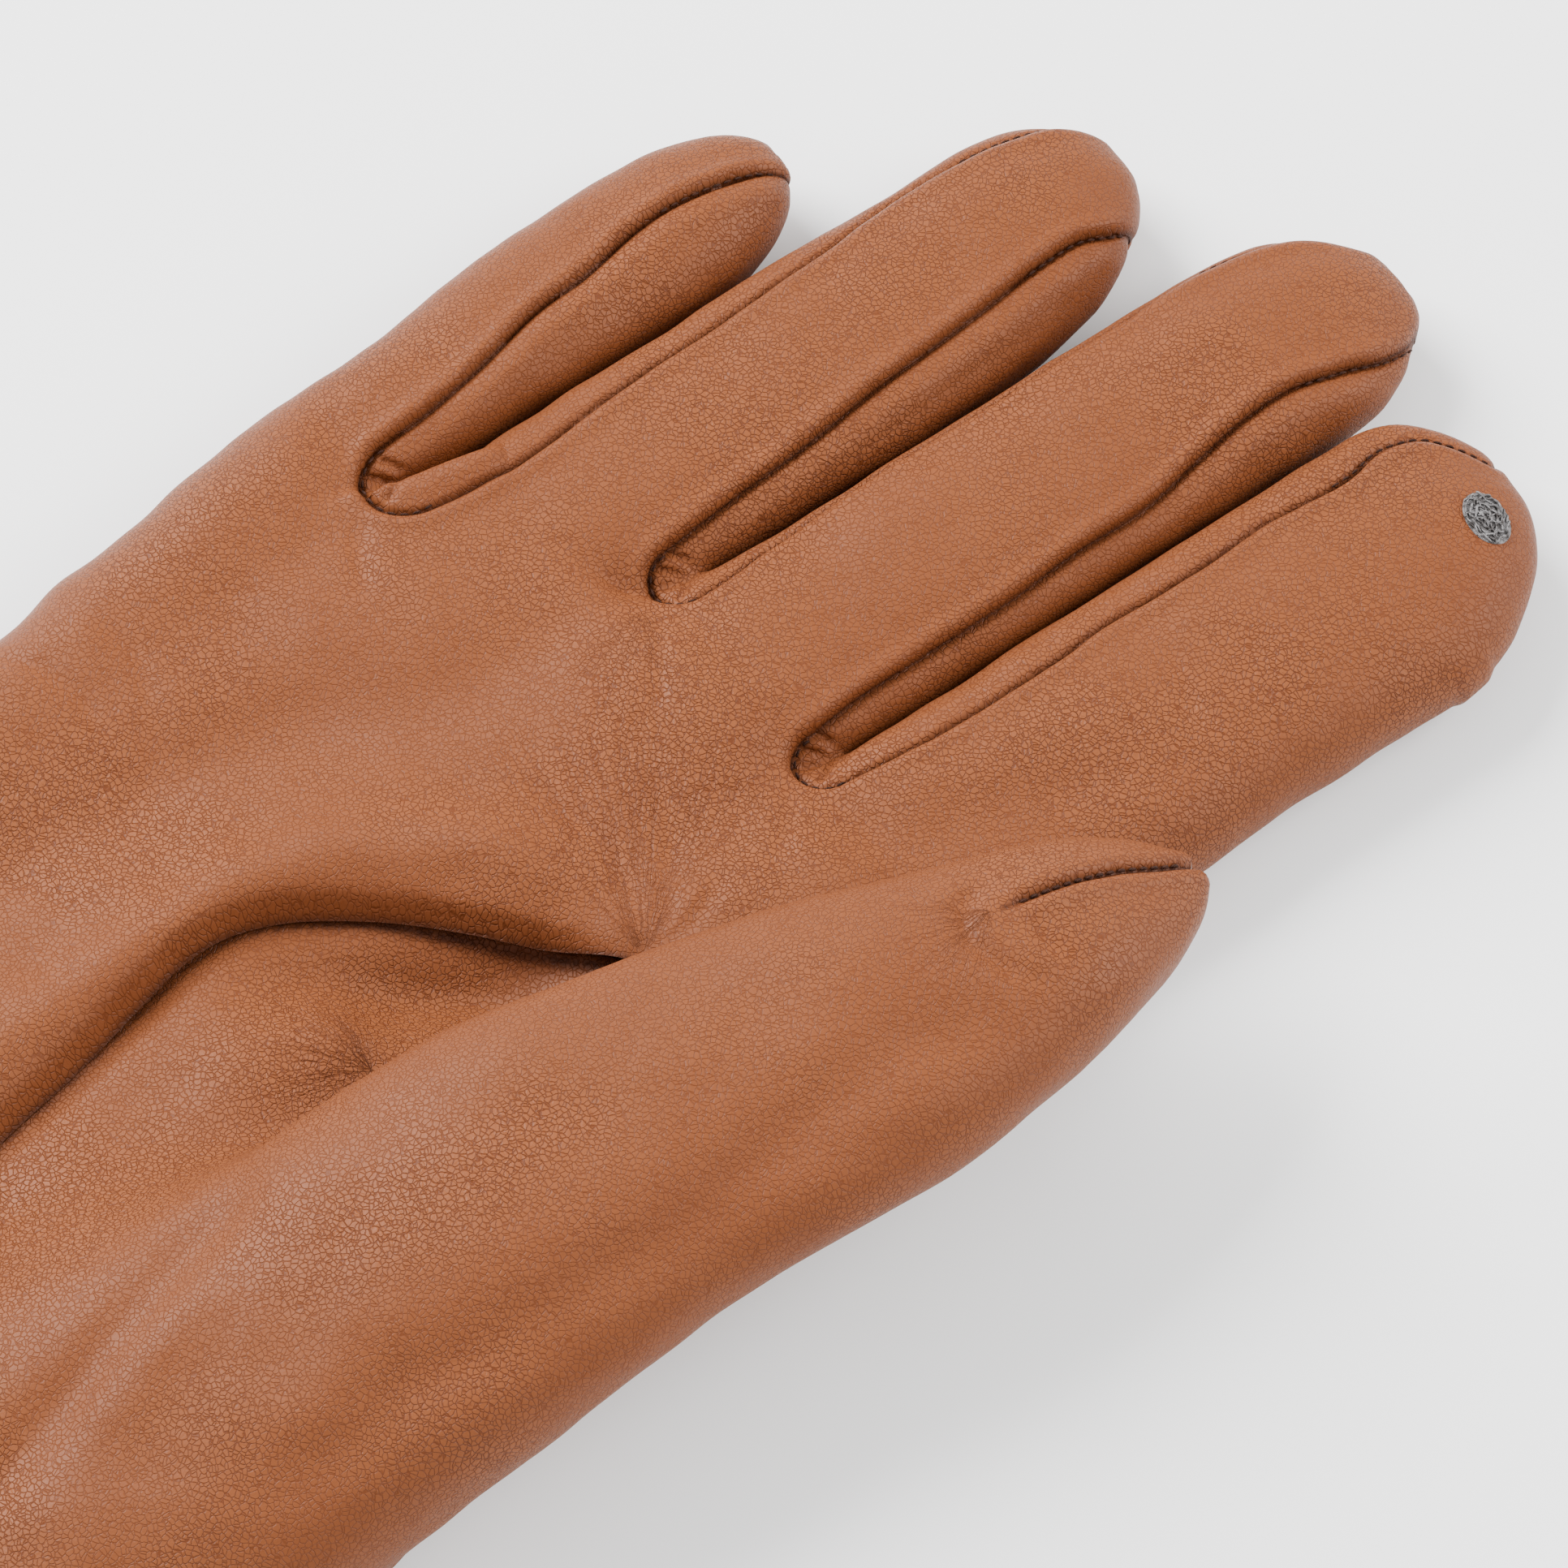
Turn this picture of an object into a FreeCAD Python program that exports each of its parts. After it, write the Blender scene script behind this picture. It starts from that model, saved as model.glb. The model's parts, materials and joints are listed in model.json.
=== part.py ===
"""Right-hand leather glove with a touchscreen fingertip, lying palm up.

Frame: +X towards the thumb side, +Y towards the fingertips, +Z out of the palm. The origin is on the resting
surface, under the middle of the glove's bounding box. All lengths are in millimetres.

A lined dress glove is a leather shell (the trank, which is the palm and back in one folded piece, the side strips
between the fingers, and a thumb piece set into a hole in the palm) over a knitted lining. Each finger is cut into
a lower and an upper sleeve at the lines where it bends, and each sleeve is a palm strip, a back strip and two side
strips. The hinge lines lie on the palm skin, so that a sleeve folds over without running into its neighbour.
"""

import FreeCAD, Part
import math
import os

V = FreeCAD.Vector

# Shell
THICK = 14.5  # hand and fingers, lying flat
EDGE_R = 6.6  # rounding of the side edges
LEATHER = 1.0
LINING = 0.8
LAYER_GAP = 0.05  # between leather and lining
SEAM_INSET = 4.0  # finger seams stand in from the side walls
SPLIT_GAP = 0.05  # between two sewn pieces
JOINT_GAP = 0.6  # between two sleeves at a bend line

# Along the hand
CUFF_Y = -123.5
HEM_W = 12.0
LOW_CROTCH_Y = 17.5  # between little and ring finger
CROTCH_Y = 36.0  # between the other fingers
ROOT_DEPTH = 16.0  # a finger reaches this far into the palm block
UPPER_DEPTH = 40.0  # the upper palm starts this far below the low crotch
FORK_HALF_W = 4.4  # the seams of a fork stand this far from the middle of the gap

# name: left wall x, right wall x, knuckle y, middle joint y, tip y, lean about Z in degrees
FINGERS = {
    "little": (-58.2, -42.2, 26.5, 47.0, 78.5, 5.0),
    "ring": (-41.3, -16.1, 48.0, 73.5, 108.0, 0.0),
    "middle": (-15.5, 9.2, 48.0, 79.5, 123.5, 0.0),
    "index": (9.8, 39.5, 52.5, 79.5, 118.5, 0.0),
}
OPEN_SIDES = {"little": "left", "index": "right"}  # outer edges with no side strip

# Stations of the hand from the cuff to near the low crotch: y, ulnar edge x, radial edge x
HAND_STATIONS = [
    (CUFF_Y, -52.4, 49.6),
    (-108.0, -51.0, 49.6),
    (-92.0, -50.0, 50.6),
    (-76.0, -49.5, 52.8),
    (-60.0, -49.5, 54.4),
    (-45.0, -50.2, 55.0),
    (-30.0, -51.4, 54.0),
    (-15.0, -53.0, 51.0),
    (-2.0, -54.8, 47.4),
    (10.5, -56.6, 44.6),
]
END_ROUND_ANGLES = (25.0, 50.0, 75.0)
UPPER_PALM_LEFT = -41.8
UPPER_PALM_RIGHT = 40.8
HOLE_LOW_Z = 8.2  # the thumb hole opens through the palm only, above this height

# Thumb. It swings about an upright line at its crotch, so its lower sleeve is a hood that slides over a heel.
THUMB_Z0, THUMB_Z1 = 15.2, 32.2
THUMB_EDGE_R = 6.4
THUMB_PIVOT_X, THUMB_PIVOT_Y = 23.0, 8.0
THUMB_SWING = 28.0
THUMB_JOINT_Y = 34.0
THUMB_OUTER_X = 61.2
THUMB_STATIONS = [  # y, palm side x, outer x
    (-6.0, 20.6, 61.2),
    (7.6, 23.2, 61.2),
    (20.4, 26.7, 60.8),
    (33.4, 30.5, 59.2),
    (46.0, 36.0, 55.4),
]
THUMB_TIP = (47.0, 59.4)
THUMB_DOME_ANGLES = (25.0, 48.0, 66.0, 80.0)  # sections of the round tip, in degrees
FOOT_STATIONS = [  # y, palm side x, outer x, low z, high z
    (-68.0, 32.0, 53.6, 4.0, 20.0),
    (-58.0, 27.5, 56.0, 4.6, 22.6),
    (-46.0, 23.5, 58.0, 6.2, 26.0),
    (-32.0, 20.8, 59.8, 8.6, 29.4),
    (-16.0, 20.0, 60.8, 12.2, 31.6),
    (9.0, 23.2, THUMB_OUTER_X, THUMB_Z0, THUMB_Z1),
]
SECTOR_R = 70.0
SECTOR_PLAY = 1.2  # degrees between the hood's stop and the foot
HEEL_RUN_ON = 1.0  # degrees by which the heel reaches under the hood at rest
HEEL_R = 36.5
HOOD_SKIRT = 3.0  # the hood's side wall ends this far below the thumb's middle height
HEEL_TOP = 30.8
HEEL_EDGE_R = 5.0
HEEL_NEAR_LOW, HEEL_NEAR_TOP = 3.0, 9.5  # the heel's near side slopes away from the pivot line
SWEPT_END = 95.0  # degrees; the foot is cleared this far round for the swinging hood
MOUND_OUTLINE = [
    (17.6, 9.0), (6.0, -4.0), (-3.0, -15.0), (-6.0, -28.0), (-3.0, -48.0), (7.0, -66.0),
    (26.0, -78.0), (46.0, -75.0), (55.0, -56.0), (56.5, -30.0), (50.0, -6.0), (32.0, 7.0),
]
MOUND_Z0, MOUND_Z1 = 4.0, 19.5
MOUND_EDGE_R = 4.4
MOUND_ROUND_ANGLES = (30.0, 60.0, 90.0)

# Touch pad
PAD_X, PAD_Y = 27.2, 112.0
PAD_RX, PAD_RY = 3.7, 3.2
PAD_PROUD = 0.35
PAD_CLEAR = 0.02  # between the pad and the leather or lining it is sewn to
CONTACT_THICK = 0.4

BIG = 400.0  # reaches past the glove in any direction
MIN_VOLUME = 2.0  # smaller solids are slivers left by a cut


def box(x0, x1, y0, y1, z0=-BIG, z1=BIG):
    return Part.makeBox(x1 - x0, y1 - y0, z1 - z0, V(x0, y0, z0))


def span(y0, y1):
    """Everything between two distances along the hand."""
    return box(-BIG, BIG, y0, y1)


def layer(z0, z1):
    """Everything between two heights."""
    return box(-BIG, BIG, -BIG, BIG, z0, z1)


def lean(shape, name):
    """Turns a finger about its knuckle, so that it fans out from the hand."""
    left, right, knuckle, _, _, angle = FINGERS[name]
    out = shape.copy()
    out.rotate(V((left + right) / 2, knuckle, 0), V(0, 0, 1), angle)
    return out


def finger_block(name, inset):
    """A finger as a solid with a round tip and round sides, inset on every side."""
    left, right, knuckle, _, tip, _ = FINGERS[name]
    x0, x1 = left + inset, right - inset
    radius = (x1 - x0) / 2
    root = (LOW_CROTCH_Y if name == "little" else CROTCH_Y) - ROOT_DEPTH
    shoulder = tip - inset - radius
    z0 = inset
    a, b = V(x0, root, z0), V(x0, shoulder, z0)
    c, d = V(x1, shoulder, z0), V(x1, root, z0)
    top = V((x0 + x1) / 2, tip - inset, z0)
    outline = Part.Wire(
        [
            Part.makeLine(a, b),
            Part.Arc(b, top, c).toShape(),
            Part.makeLine(c, d),
            Part.makeLine(d, a),
        ]
    )
    solid = Part.Face(outline).extrude(V(0, 0, THICK - 2 * inset))
    return lean(round_rims(solid, EDGE_R - inset, z0, THICK - inset, root), name)


def round_rims(solid, radius, z0, z1, flat_end=None):
    """Rounds the edges that lie in the planes z0 and z1, apart from those on the plane y = flat_end."""
    edges = []
    for edge in solid.Edges:
        b = edge.BoundBox
        level = b.ZLength < 1e-4 and min(abs(b.ZMin - z0), abs(b.ZMin - z1)) < 1e-4
        at_end = flat_end is not None and b.YLength < 1e-4 and abs(b.YMin - flat_end) < 1e-4
        if level and not at_end:
            edges.append(edge)
    return solid.makeFillet(radius, edges)


def rounded_section(y, x0, x1, z0, z1, r):
    """A rounded rectangle in the plane of constant y."""
    s = r * (1 - math.sqrt(0.5))
    corner = [
        (V(x0, y, z0 + r), V(x0 + s, y, z0 + s), V(x0 + r, y, z0)),
        (V(x1 - r, y, z0), V(x1 - s, y, z0 + s), V(x1, y, z0 + r)),
        (V(x1, y, z1 - r), V(x1 - s, y, z1 - s), V(x1 - r, y, z1)),
        (V(x0 + r, y, z1), V(x0 + s, y, z1 - s), V(x0, y, z1 - r)),
    ]
    edges = []
    for i, (start, mid, end) in enumerate(corner):
        edges.append(Part.Arc(start, mid, end).toShape())
        edges.append(Part.makeLine(end, corner[(i + 1) % 4][0]))
    return Part.Wire(edges)


def loft_to_round_end(stations, end_y, inset, r):
    """A flat tube through (y, left x, right x) stations, closed at end_y with a rounded end."""
    wires = [rounded_section(y, a, b, inset, THICK - inset, r) for y, a, b in stations]
    _, a, b = stations[-1]
    for angle in END_ROUND_ANGLES:
        along, in_by = r * math.sin(math.radians(angle)), r * (1 - math.cos(math.radians(angle)))
        wires.append(
            rounded_section(
                end_y - r + along, a + in_by, b - in_by, inset + in_by, THICK - inset - in_by, r - in_by
            )
        )
    return Part.makeLoft(wires, True, True)


def palm_blocks(inset, cuff_extra=0.0):
    """The hand below the fingers: a tapering main block and the upper palm under three fingers."""
    r = EDGE_R - inset
    stations = [(y, a + inset, b - inset) for y, a, b in HAND_STATIONS]
    first_y, a, b = stations[0]
    stations[0] = (first_y - cuff_extra, a, b)
    main = loft_to_round_end(stations, LOW_CROTCH_Y - inset, inset, r)
    x0, x1 = UPPER_PALM_LEFT + inset, UPPER_PALM_RIGHT - inset
    low, high = LOW_CROTCH_Y - UPPER_DEPTH, CROTCH_Y - inset
    upper = loft_to_round_end([(low, x0, x1), (high - r, x0, x1)], high, inset, r)
    return [main, upper]


def thumb_block(inset):
    """The thumb over the palm, from its root to its tip, as one solid."""
    z0, z1 = THUMB_Z0 + inset, THUMB_Z1 - inset
    r = THUMB_EDGE_R - inset
    wires = [
        rounded_section(y, left + inset, right - inset, z0, z1, r)
        for y, left, right in THUMB_STATIONS
    ]
    shoulder_y, left, right = THUMB_STATIONS[-1]
    middle_x, middle_z = (left + right) / 2, (z0 + z1) / 2
    reach = THUMB_TIP[1] - inset - shoulder_y
    for angle in THUMB_DOME_ANGLES:
        along, across = math.sin(math.radians(angle)), math.cos(math.radians(angle))
        x = middle_x + (THUMB_TIP[0] - middle_x) * along
        half_w = ((right - left) / 2 - inset) * across
        half_h = (z1 - z0) / 2 * across
        wires.append(
            rounded_section(
                shoulder_y + reach * along, x - half_w, x + half_w,
                middle_z - half_h, middle_z + half_h, r * across,
            )
        )
    return Part.makeLoft(wires, True, False)


def mound_block(inset):
    """The low mound on the palm that the thumb hole opens into. Its foot is inside the palm."""
    z0, z1 = MOUND_Z0 + inset, MOUND_Z1 - inset
    r = MOUND_EDGE_R - inset
    cx = sum(x for x, _ in MOUND_OUTLINE) / len(MOUND_OUTLINE)
    cy = sum(y for _, y in MOUND_OUTLINE) / len(MOUND_OUTLINE)

    def ring(z, shrink):
        points = []
        for x, y in MOUND_OUTLINE:
            part = 1 - shrink / math.hypot(x - cx, y - cy)
            points.append(V(cx + (x - cx) * part, cy + (y - cy) * part, z))
        curve = Part.BSplineCurve()
        curve.interpolate(Points=points, PeriodicFlag=True)
        return Part.Wire([curve.toShape()])

    wires = [ring(z0, inset), ring(z1 - r, inset)]
    wires += [
        ring(z1 - r + r * math.sin(math.radians(a)), inset + r * (1 - math.cos(math.radians(a))))
        for a in MOUND_ROUND_ANGLES
    ]
    return Part.makeLoft(wires, True, True)


def foot_block(inset):
    """The tall root of the thumb at the radial edge of the hand."""
    r = THUMB_EDGE_R - inset
    wires = [
        rounded_section(y, left + inset, right - inset, z0 + inset, z1 - inset, r)
        for y, left, right, z0, z1 in FOOT_STATIONS
    ]
    return Part.makeLoft(wires, True, False)


def sector(start, end, z0=-BIG, z1=BIG):
    """A wedge about the thumb's pivot line, between two directions in degrees from +X."""
    pivot = V(THUMB_PIVOT_X, THUMB_PIVOT_Y, z0)
    wedge = Part.makeCylinder(SECTOR_R, z1 - z0, pivot, V(0, 0, 1), end - start)
    wedge.rotate(pivot, V(0, 0, 1), start)
    return wedge


def heel_block(inset):
    """A drum about the pivot line, with a rounded rim, that fits inside the thumb's hood."""
    z0, z1, r = THICK / 2, HEEL_TOP - inset, HEEL_R - inset
    c = HEEL_EDGE_R - inset
    s = c * (1 - math.sqrt(0.5))
    px, py = THUMB_PIVOT_X, THUMB_PIVOT_Y
    slope = (HEEL_NEAR_TOP - HEEL_NEAR_LOW) / (HEEL_TOP - z0)
    near_low = V(px + HEEL_NEAR_LOW, py, z0)
    near_top = V(px + HEEL_NEAR_LOW + slope * (z1 - z0), py, z1)
    far_low, far_high, rim_end = V(px + r, py, z0), V(px + r, py, z1 - c), V(px + r - c, py, z1)
    rim_mid = V(px + r - s, py, z1 - s)
    profile = Part.Wire(
        [
            Part.makeLine(near_low, far_low),
            Part.makeLine(far_low, far_high),
            Part.Arc(far_high, rim_mid, rim_end).toShape(),
            Part.makeLine(rim_end, near_top),
            Part.makeLine(near_top, near_low),
        ]
    )
    start, end = -THUMB_SWING - SECTOR_PLAY, HEEL_RUN_ON
    drum = Part.Face(profile).revolve(V(px, py, 0), V(0, 0, 1), end - start)
    drum.rotate(V(px, py, 0), V(0, 0, 1), start)
    return drum


def union(shapes):
    return shapes[0].multiFuse(shapes[1:]).removeSplitter() if len(shapes) > 1 else shapes[0]


def save(name, shape):
    """Writes the solids of a shape, without slivers, as one node."""
    kept = Part.Compound([s for s in shape.Solids if s.Volume > MIN_VOLUME])
    if not kept.Solids:
        raise ValueError(f"{name} is empty")
    kept.exportStep(f"parts/{name}.step")
    print(f"{name}: {len(kept.Solids)} solid(s), {kept.Volume:.0f} mm3, valid {kept.isValid()}")


def seam_prisms(name):
    """The palm side, the back side and the whole of a finger between its side seams."""
    left, right, *_ = FINGERS[name]
    x0 = -BIG if OPEN_SIDES.get(name) == "left" else left + SEAM_INSET
    x1 = BIG if OPEN_SIDES.get(name) == "right" else right - SEAM_INSET
    half = THICK / 2
    palm = box(x0, x1, -BIG, BIG, half, BIG)
    back = box(x0, x1, -BIG, BIG, -BIG, half - SPLIT_GAP)
    wide = box(x0 - SPLIT_GAP, x1 + SPLIT_GAP, -BIG, BIG)
    return lean(palm, name), lean(back, name), lean(wide, name)


def side_names(name):
    """The side strips of a finger: (which side, what it is called)."""
    names = []
    for side in ("left", "right"):
        if OPEN_SIDES.get(name) != side:
            names.append((side, "inner" if name in OPEN_SIDES else ("ulnar" if side == "left" else "radial")))
    return names


def make_finger(name):
    """Two sleeves of four leather strips and a lining each. Returns what the hand needs of it."""
    left, right, knuckle, mid, tip, _ = FINGERS[name]
    outer, inner = finger_block(name, 0.0), finger_block(name, LEATHER)
    lining_out = finger_block(name, LEATHER + LAYER_GAP)
    lining_in = finger_block(name, LEATHER + LAYER_GAP + LINING)
    leather = outer.cut(inner)
    lining = lining_out.cut(lining_in)
    half, middle_x = JOINT_GAP / 2, (left + right) / 2
    spans = {"lower": (knuckle + half, mid - half), "upper": (mid + half, BIG)}
    sides = {"left": box(-BIG, middle_x, -BIG, BIG), "right": box(middle_x, BIG, -BIG, BIG)}
    palm, back, wide = seam_prisms(name)
    for label, (y0, y1) in spans.items():
        slab = lean(span(y0, y1), name)
        sleeve = leather.common(slab)
        save(f"{name}_palm_{label}", sleeve.common(palm))
        save(f"{name}_back_{label}", sleeve.common(back))
        walls = sleeve.cut(wide)
        for side, word in side_names(name):
            save(f"{name}_side_{word}_{label}", walls.common(lean(sides[side], name)))
        save(f"{name}_lining_{label}", lining.common(slab))
    stub = lean(span(-BIG, knuckle - half), name)
    return {
        "outer": outer.common(stub),
        "inner": inner,
        "lining_out": lining_out.common(stub),
        "lining_in": lining_in,
    }


def make_thumb(hand_outer):
    """The thumb's two sleeves and its foot on the palm. Returns the hollow that opens into the hand."""
    layer2 = LEATHER + LAYER_GAP
    outer, inner = thumb_block(0.0), thumb_block(LEATHER)
    lining_out, lining_in = thumb_block(layer2), thumb_block(layer2 + LINING)
    half = JOINT_GAP / 2
    leather, lining = outer.cut(inner), lining_out.cut(lining_in)
    middle = (THUMB_Z0 + THUMB_Z1) / 2
    front, rear = layer(middle, BIG), layer(-BIG, middle - SPLIT_GAP)
    lower = span(THUMB_PIVOT_Y + half, THUMB_JOINT_Y - half)
    upper = span(THUMB_JOINT_Y + half, BIG)
    passing = THUMB_SWING + HEEL_RUN_ON + SECTOR_PLAY
    floor = sector(0, passing, -BIG, middle - HOOD_SKIRT)
    save("thumb_front_lower", leather.common(lower).common(front))
    save("thumb_rear_lower", leather.common(lower).common(rear).cut(floor))
    save("thumb_lining_lower", lining.common(lower).cut(sector(-HEEL_RUN_ON, passing)))
    save("thumb_front_upper", leather.common(upper).common(front))
    save("thumb_rear_upper", leather.common(upper).common(rear))
    save("thumb_lining_upper", lining.common(upper))

    behind = span(-BIG, THUMB_PIVOT_Y - half)
    swept = sector(-THUMB_SWING - SECTOR_PLAY, SWEPT_END)
    layers = [
        union([mound_block(inset), foot_block(inset)])
        for inset in (0.0, LEATHER, layer2, layer2 + LINING)
    ]
    foot = layers[0].cut(layers[1]).cut(hand_outer)
    foot_lining = layers[2].cut(layers[3]).cut(hand_outer)
    save("thumb_foot", foot.common(behind).cut(swept))
    save("thumb_foot_lining", foot_lining.common(behind).cut(swept))
    heel_hollow = heel_block(LEATHER)
    save("thumb_heel", heel_block(0.0).cut(heel_hollow).cut(hand_outer))
    return union([layers[1].common(behind).cut(swept), heel_hollow])


def make_hand(fingers):
    """The whole hand block, its leather shell and its lining shell."""
    outer = union(palm_blocks(0.0) + [f["outer"] for f in fingers.values()])
    inner = union(palm_blocks(LEATHER, 5.0) + [f["inner"] for f in fingers.values()])
    lining_out = union(palm_blocks(LEATHER + LAYER_GAP, 5.0) + [f["lining_out"] for f in fingers.values()])
    lining_in = union(
        palm_blocks(LEATHER + LAYER_GAP + LINING, 5.0) + [f["lining_in"] for f in fingers.values()]
    )
    return outer, outer.cut(inner), lining_out.cut(lining_in)


def fork_region(x, y, half_width):
    """A U-shaped prism round the gap between two fingers, closed by a half circle below the crotch."""
    low = y - SEAM_INSET + half_width
    column = Part.makeCylinder(half_width, 2 * BIG, V(x, low, -BIG))
    return column.fuse(box(x - half_width, x + half_width, low, BIG))


def save_hand(leather, lining, thumb_hollow):
    """Palm and back panels, the forks between the fingers, the hem and the lining."""
    half = THICK / 2
    gap = {
        "little_ring": ((FINGERS["little"][1] + FINGERS["ring"][0]) / 2, LOW_CROTCH_Y),
        "ring_middle": ((FINGERS["ring"][1] + FINGERS["middle"][0]) / 2, CROTCH_Y),
        "middle_index": ((FINGERS["middle"][1] + FINGERS["index"][0]) / 2, CROTCH_Y),
    }
    forks = {k: fork_region(x, y, FORK_HALF_W) for k, (x, y) in gap.items()}
    wide = union([fork_region(x, y, FORK_HALF_W + SPLIT_GAP) for x, y in gap.values()])
    hole = thumb_hollow.common(layer(HOLE_LOW_Z, BIG))
    skin = leather.cut(wide)
    save("palm_panel", skin.common(layer(half, BIG)).cut(hole))
    save("back_panel", skin.common(layer(-BIG, half - SPLIT_GAP)))
    for name, region in forks.items():
        save(f"fork_{name}", leather.common(region))
    hem_end = CUFF_Y + HEM_W
    opened = lining.cut(hole)
    save("cuff_hem", opened.common(span(CUFF_Y, hem_end)))
    save("hand_lining", opened.common(span(hem_end + SPLIT_GAP, BIG)))


def make_pad():
    """The embroidered conductive patch on the index fingertip, and its contact inside the lining."""
    column = Part.makeCylinder(PAD_RX, BIG, V(0, 0, 0))
    squeeze = FreeCAD.Matrix()
    squeeze.scale(1.0, PAD_RY / PAD_RX, 1.0)
    column = column.transformGeometry(squeeze)
    column.translate(V(PAD_X, PAD_Y, THICK / 2))
    pad = finger_block("index", -PAD_PROUD).cut(finger_block("index", -PAD_CLEAR)).common(column)
    save("touch_pad", pad)
    inside = LEATHER + LAYER_GAP + LINING + PAD_CLEAR
    contact = finger_block("index", inside).cut(finger_block("index", inside + CONTACT_THICK))
    save("touch_contact", contact.common(column))


def main():
    os.makedirs("parts", exist_ok=True)
    fingers = {name: make_finger(name) for name in FINGERS}
    hand_outer, leather, lining = make_hand(fingers)
    thumb_hollow = make_thumb(hand_outer)
    save_hand(leather, lining, thumb_hollow)
    make_pad()


main()
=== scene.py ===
"""The visible glove: a right-hand nappa leather dress glove, palm up, on the frame of the CAD model.

The leather is worked out as solid shapes (distance fields, in millimetres), meshed, cut along its seams into
the sewn pieces, and given its seam ridges, folds and creases. The pieces of the hand, the cuff hem, the
hand's lining, the fork stitches and the touch patch are put on the body they belong to; the finger and thumb
pieces are left where they lie. The shaping is direct mesh work, without a cloth simulation.
"""

import json
import math

import bpy
import numpy as np
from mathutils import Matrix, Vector


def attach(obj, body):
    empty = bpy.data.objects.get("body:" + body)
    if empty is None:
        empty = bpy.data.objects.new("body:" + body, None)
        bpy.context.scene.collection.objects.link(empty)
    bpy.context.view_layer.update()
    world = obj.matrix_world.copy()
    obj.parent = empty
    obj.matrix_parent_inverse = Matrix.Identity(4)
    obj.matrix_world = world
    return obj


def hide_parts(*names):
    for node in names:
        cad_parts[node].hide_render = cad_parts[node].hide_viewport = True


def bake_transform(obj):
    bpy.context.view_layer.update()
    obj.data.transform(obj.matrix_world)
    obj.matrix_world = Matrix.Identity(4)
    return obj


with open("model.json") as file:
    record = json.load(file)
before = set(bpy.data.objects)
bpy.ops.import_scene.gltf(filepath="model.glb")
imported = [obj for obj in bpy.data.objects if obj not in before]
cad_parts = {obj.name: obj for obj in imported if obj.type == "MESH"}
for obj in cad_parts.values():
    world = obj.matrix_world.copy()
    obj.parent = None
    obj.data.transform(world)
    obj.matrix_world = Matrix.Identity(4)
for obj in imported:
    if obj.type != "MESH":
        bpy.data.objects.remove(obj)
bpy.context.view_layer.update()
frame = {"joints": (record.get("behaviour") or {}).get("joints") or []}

MM = 0.001
JOINT = {j["name"]: j for j in frame["joints"]}

# Camera, in the glove's frame (millimetres and degrees)
CAMERA_TARGET = (9.9, 34.83, 10.0)
CAMERA_AZIMUTH = 55.0
CAMERA_ELEVATION = 63.0
CAMERA_DISTANCE = 900.0
CAMERA_LENS = 201.2

# Mesh fineness
STEP = 0.8
WARP_ROOM = 3.0  # extra sampling room given to the narrow gaps between fingers
WARP_HALF = 3.0

# Heights
MID_Z = 7.4
HALF_Z = 7.4
CROTCH_Y = 36.0
LOW_CROTCH_Y = 17.6
CUFF_Y = -123.5
TABLE_GIVE = 0.8  # how gradually the leather flattens where it rests on the table

# Finger shapes: rows of (y, centre x, half width, middle z, half height), then where the tip starts and ends
FINGERS = {
    "little": dict(
        rows=[(-10, -46.0, 8.0, 7.0, 6.8), (17, -48.9, 8.2, 7.2, 7.2), (28, -49.2, 8.7, 7.3, 7.3),
              (40, -50.3, 9.3, 7.2, 7.1), (55, -51.6, 9.6, 6.9, 6.7), (80, -53.0, 9.2, 6.4, 6.2)],
        tip=(56.0, 78.4), power=2.6,
    ),
    "ring": dict(
        rows=[(5, -28.0, 12.6, 7.4, 7.2), (36, -28.2, 13.0, 7.5, 7.5), (55, -28.4, 13.0, 7.4, 7.4),
              (75, -28.9, 12.8, 7.2, 7.1), (90, -30.0, 12.2, 6.9, 6.8), (109, -32.2, 11.4, 6.5, 6.4)],
        tip=(84.0, 108.3), power=3.0,
    ),
    "middle": dict(
        rows=[(5, -2.5, 12.4, 7.4, 7.2), (36, -2.4, 12.6, 7.6, 7.6), (60, -2.7, 12.6, 7.5, 7.5),
              (85, -3.2, 12.6, 7.2, 7.2), (105, -3.5, 12.5, 6.9, 6.8), (125, -2.6, 12.2, 6.5, 6.4)],
        tip=(99.0, 123.9), power=3.0,
    ),
    "index": dict(
        rows=[(5, 26.5, 15.4, 7.4, 7.2), (36, 26.4, 15.6, 7.6, 7.5), (60, 25.8, 15.5, 7.6, 7.6),
              (80, 25.2, 15.2, 7.4, 7.4), (98, 25.0, 15.2, 7.1, 7.0), (119, 22.6, 14.6, 6.6, 6.4)],
        tip=(97.0, 118.6), power=3.0,
    ),
}
GAP_LINES = {  # rows of (y, x) between neighbouring fingers
    "little_ring": [(-20, -39.6), (17, -40.6), (80, -42.4)],
    "ring_middle": [(-20, -14.6), (36, -14.8), (95, -15.7)],
    "middle_index": [(-20, 11.0), (36, 10.8), (110, 9.2)],
}
GAP_HALF = 0.27
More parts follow.
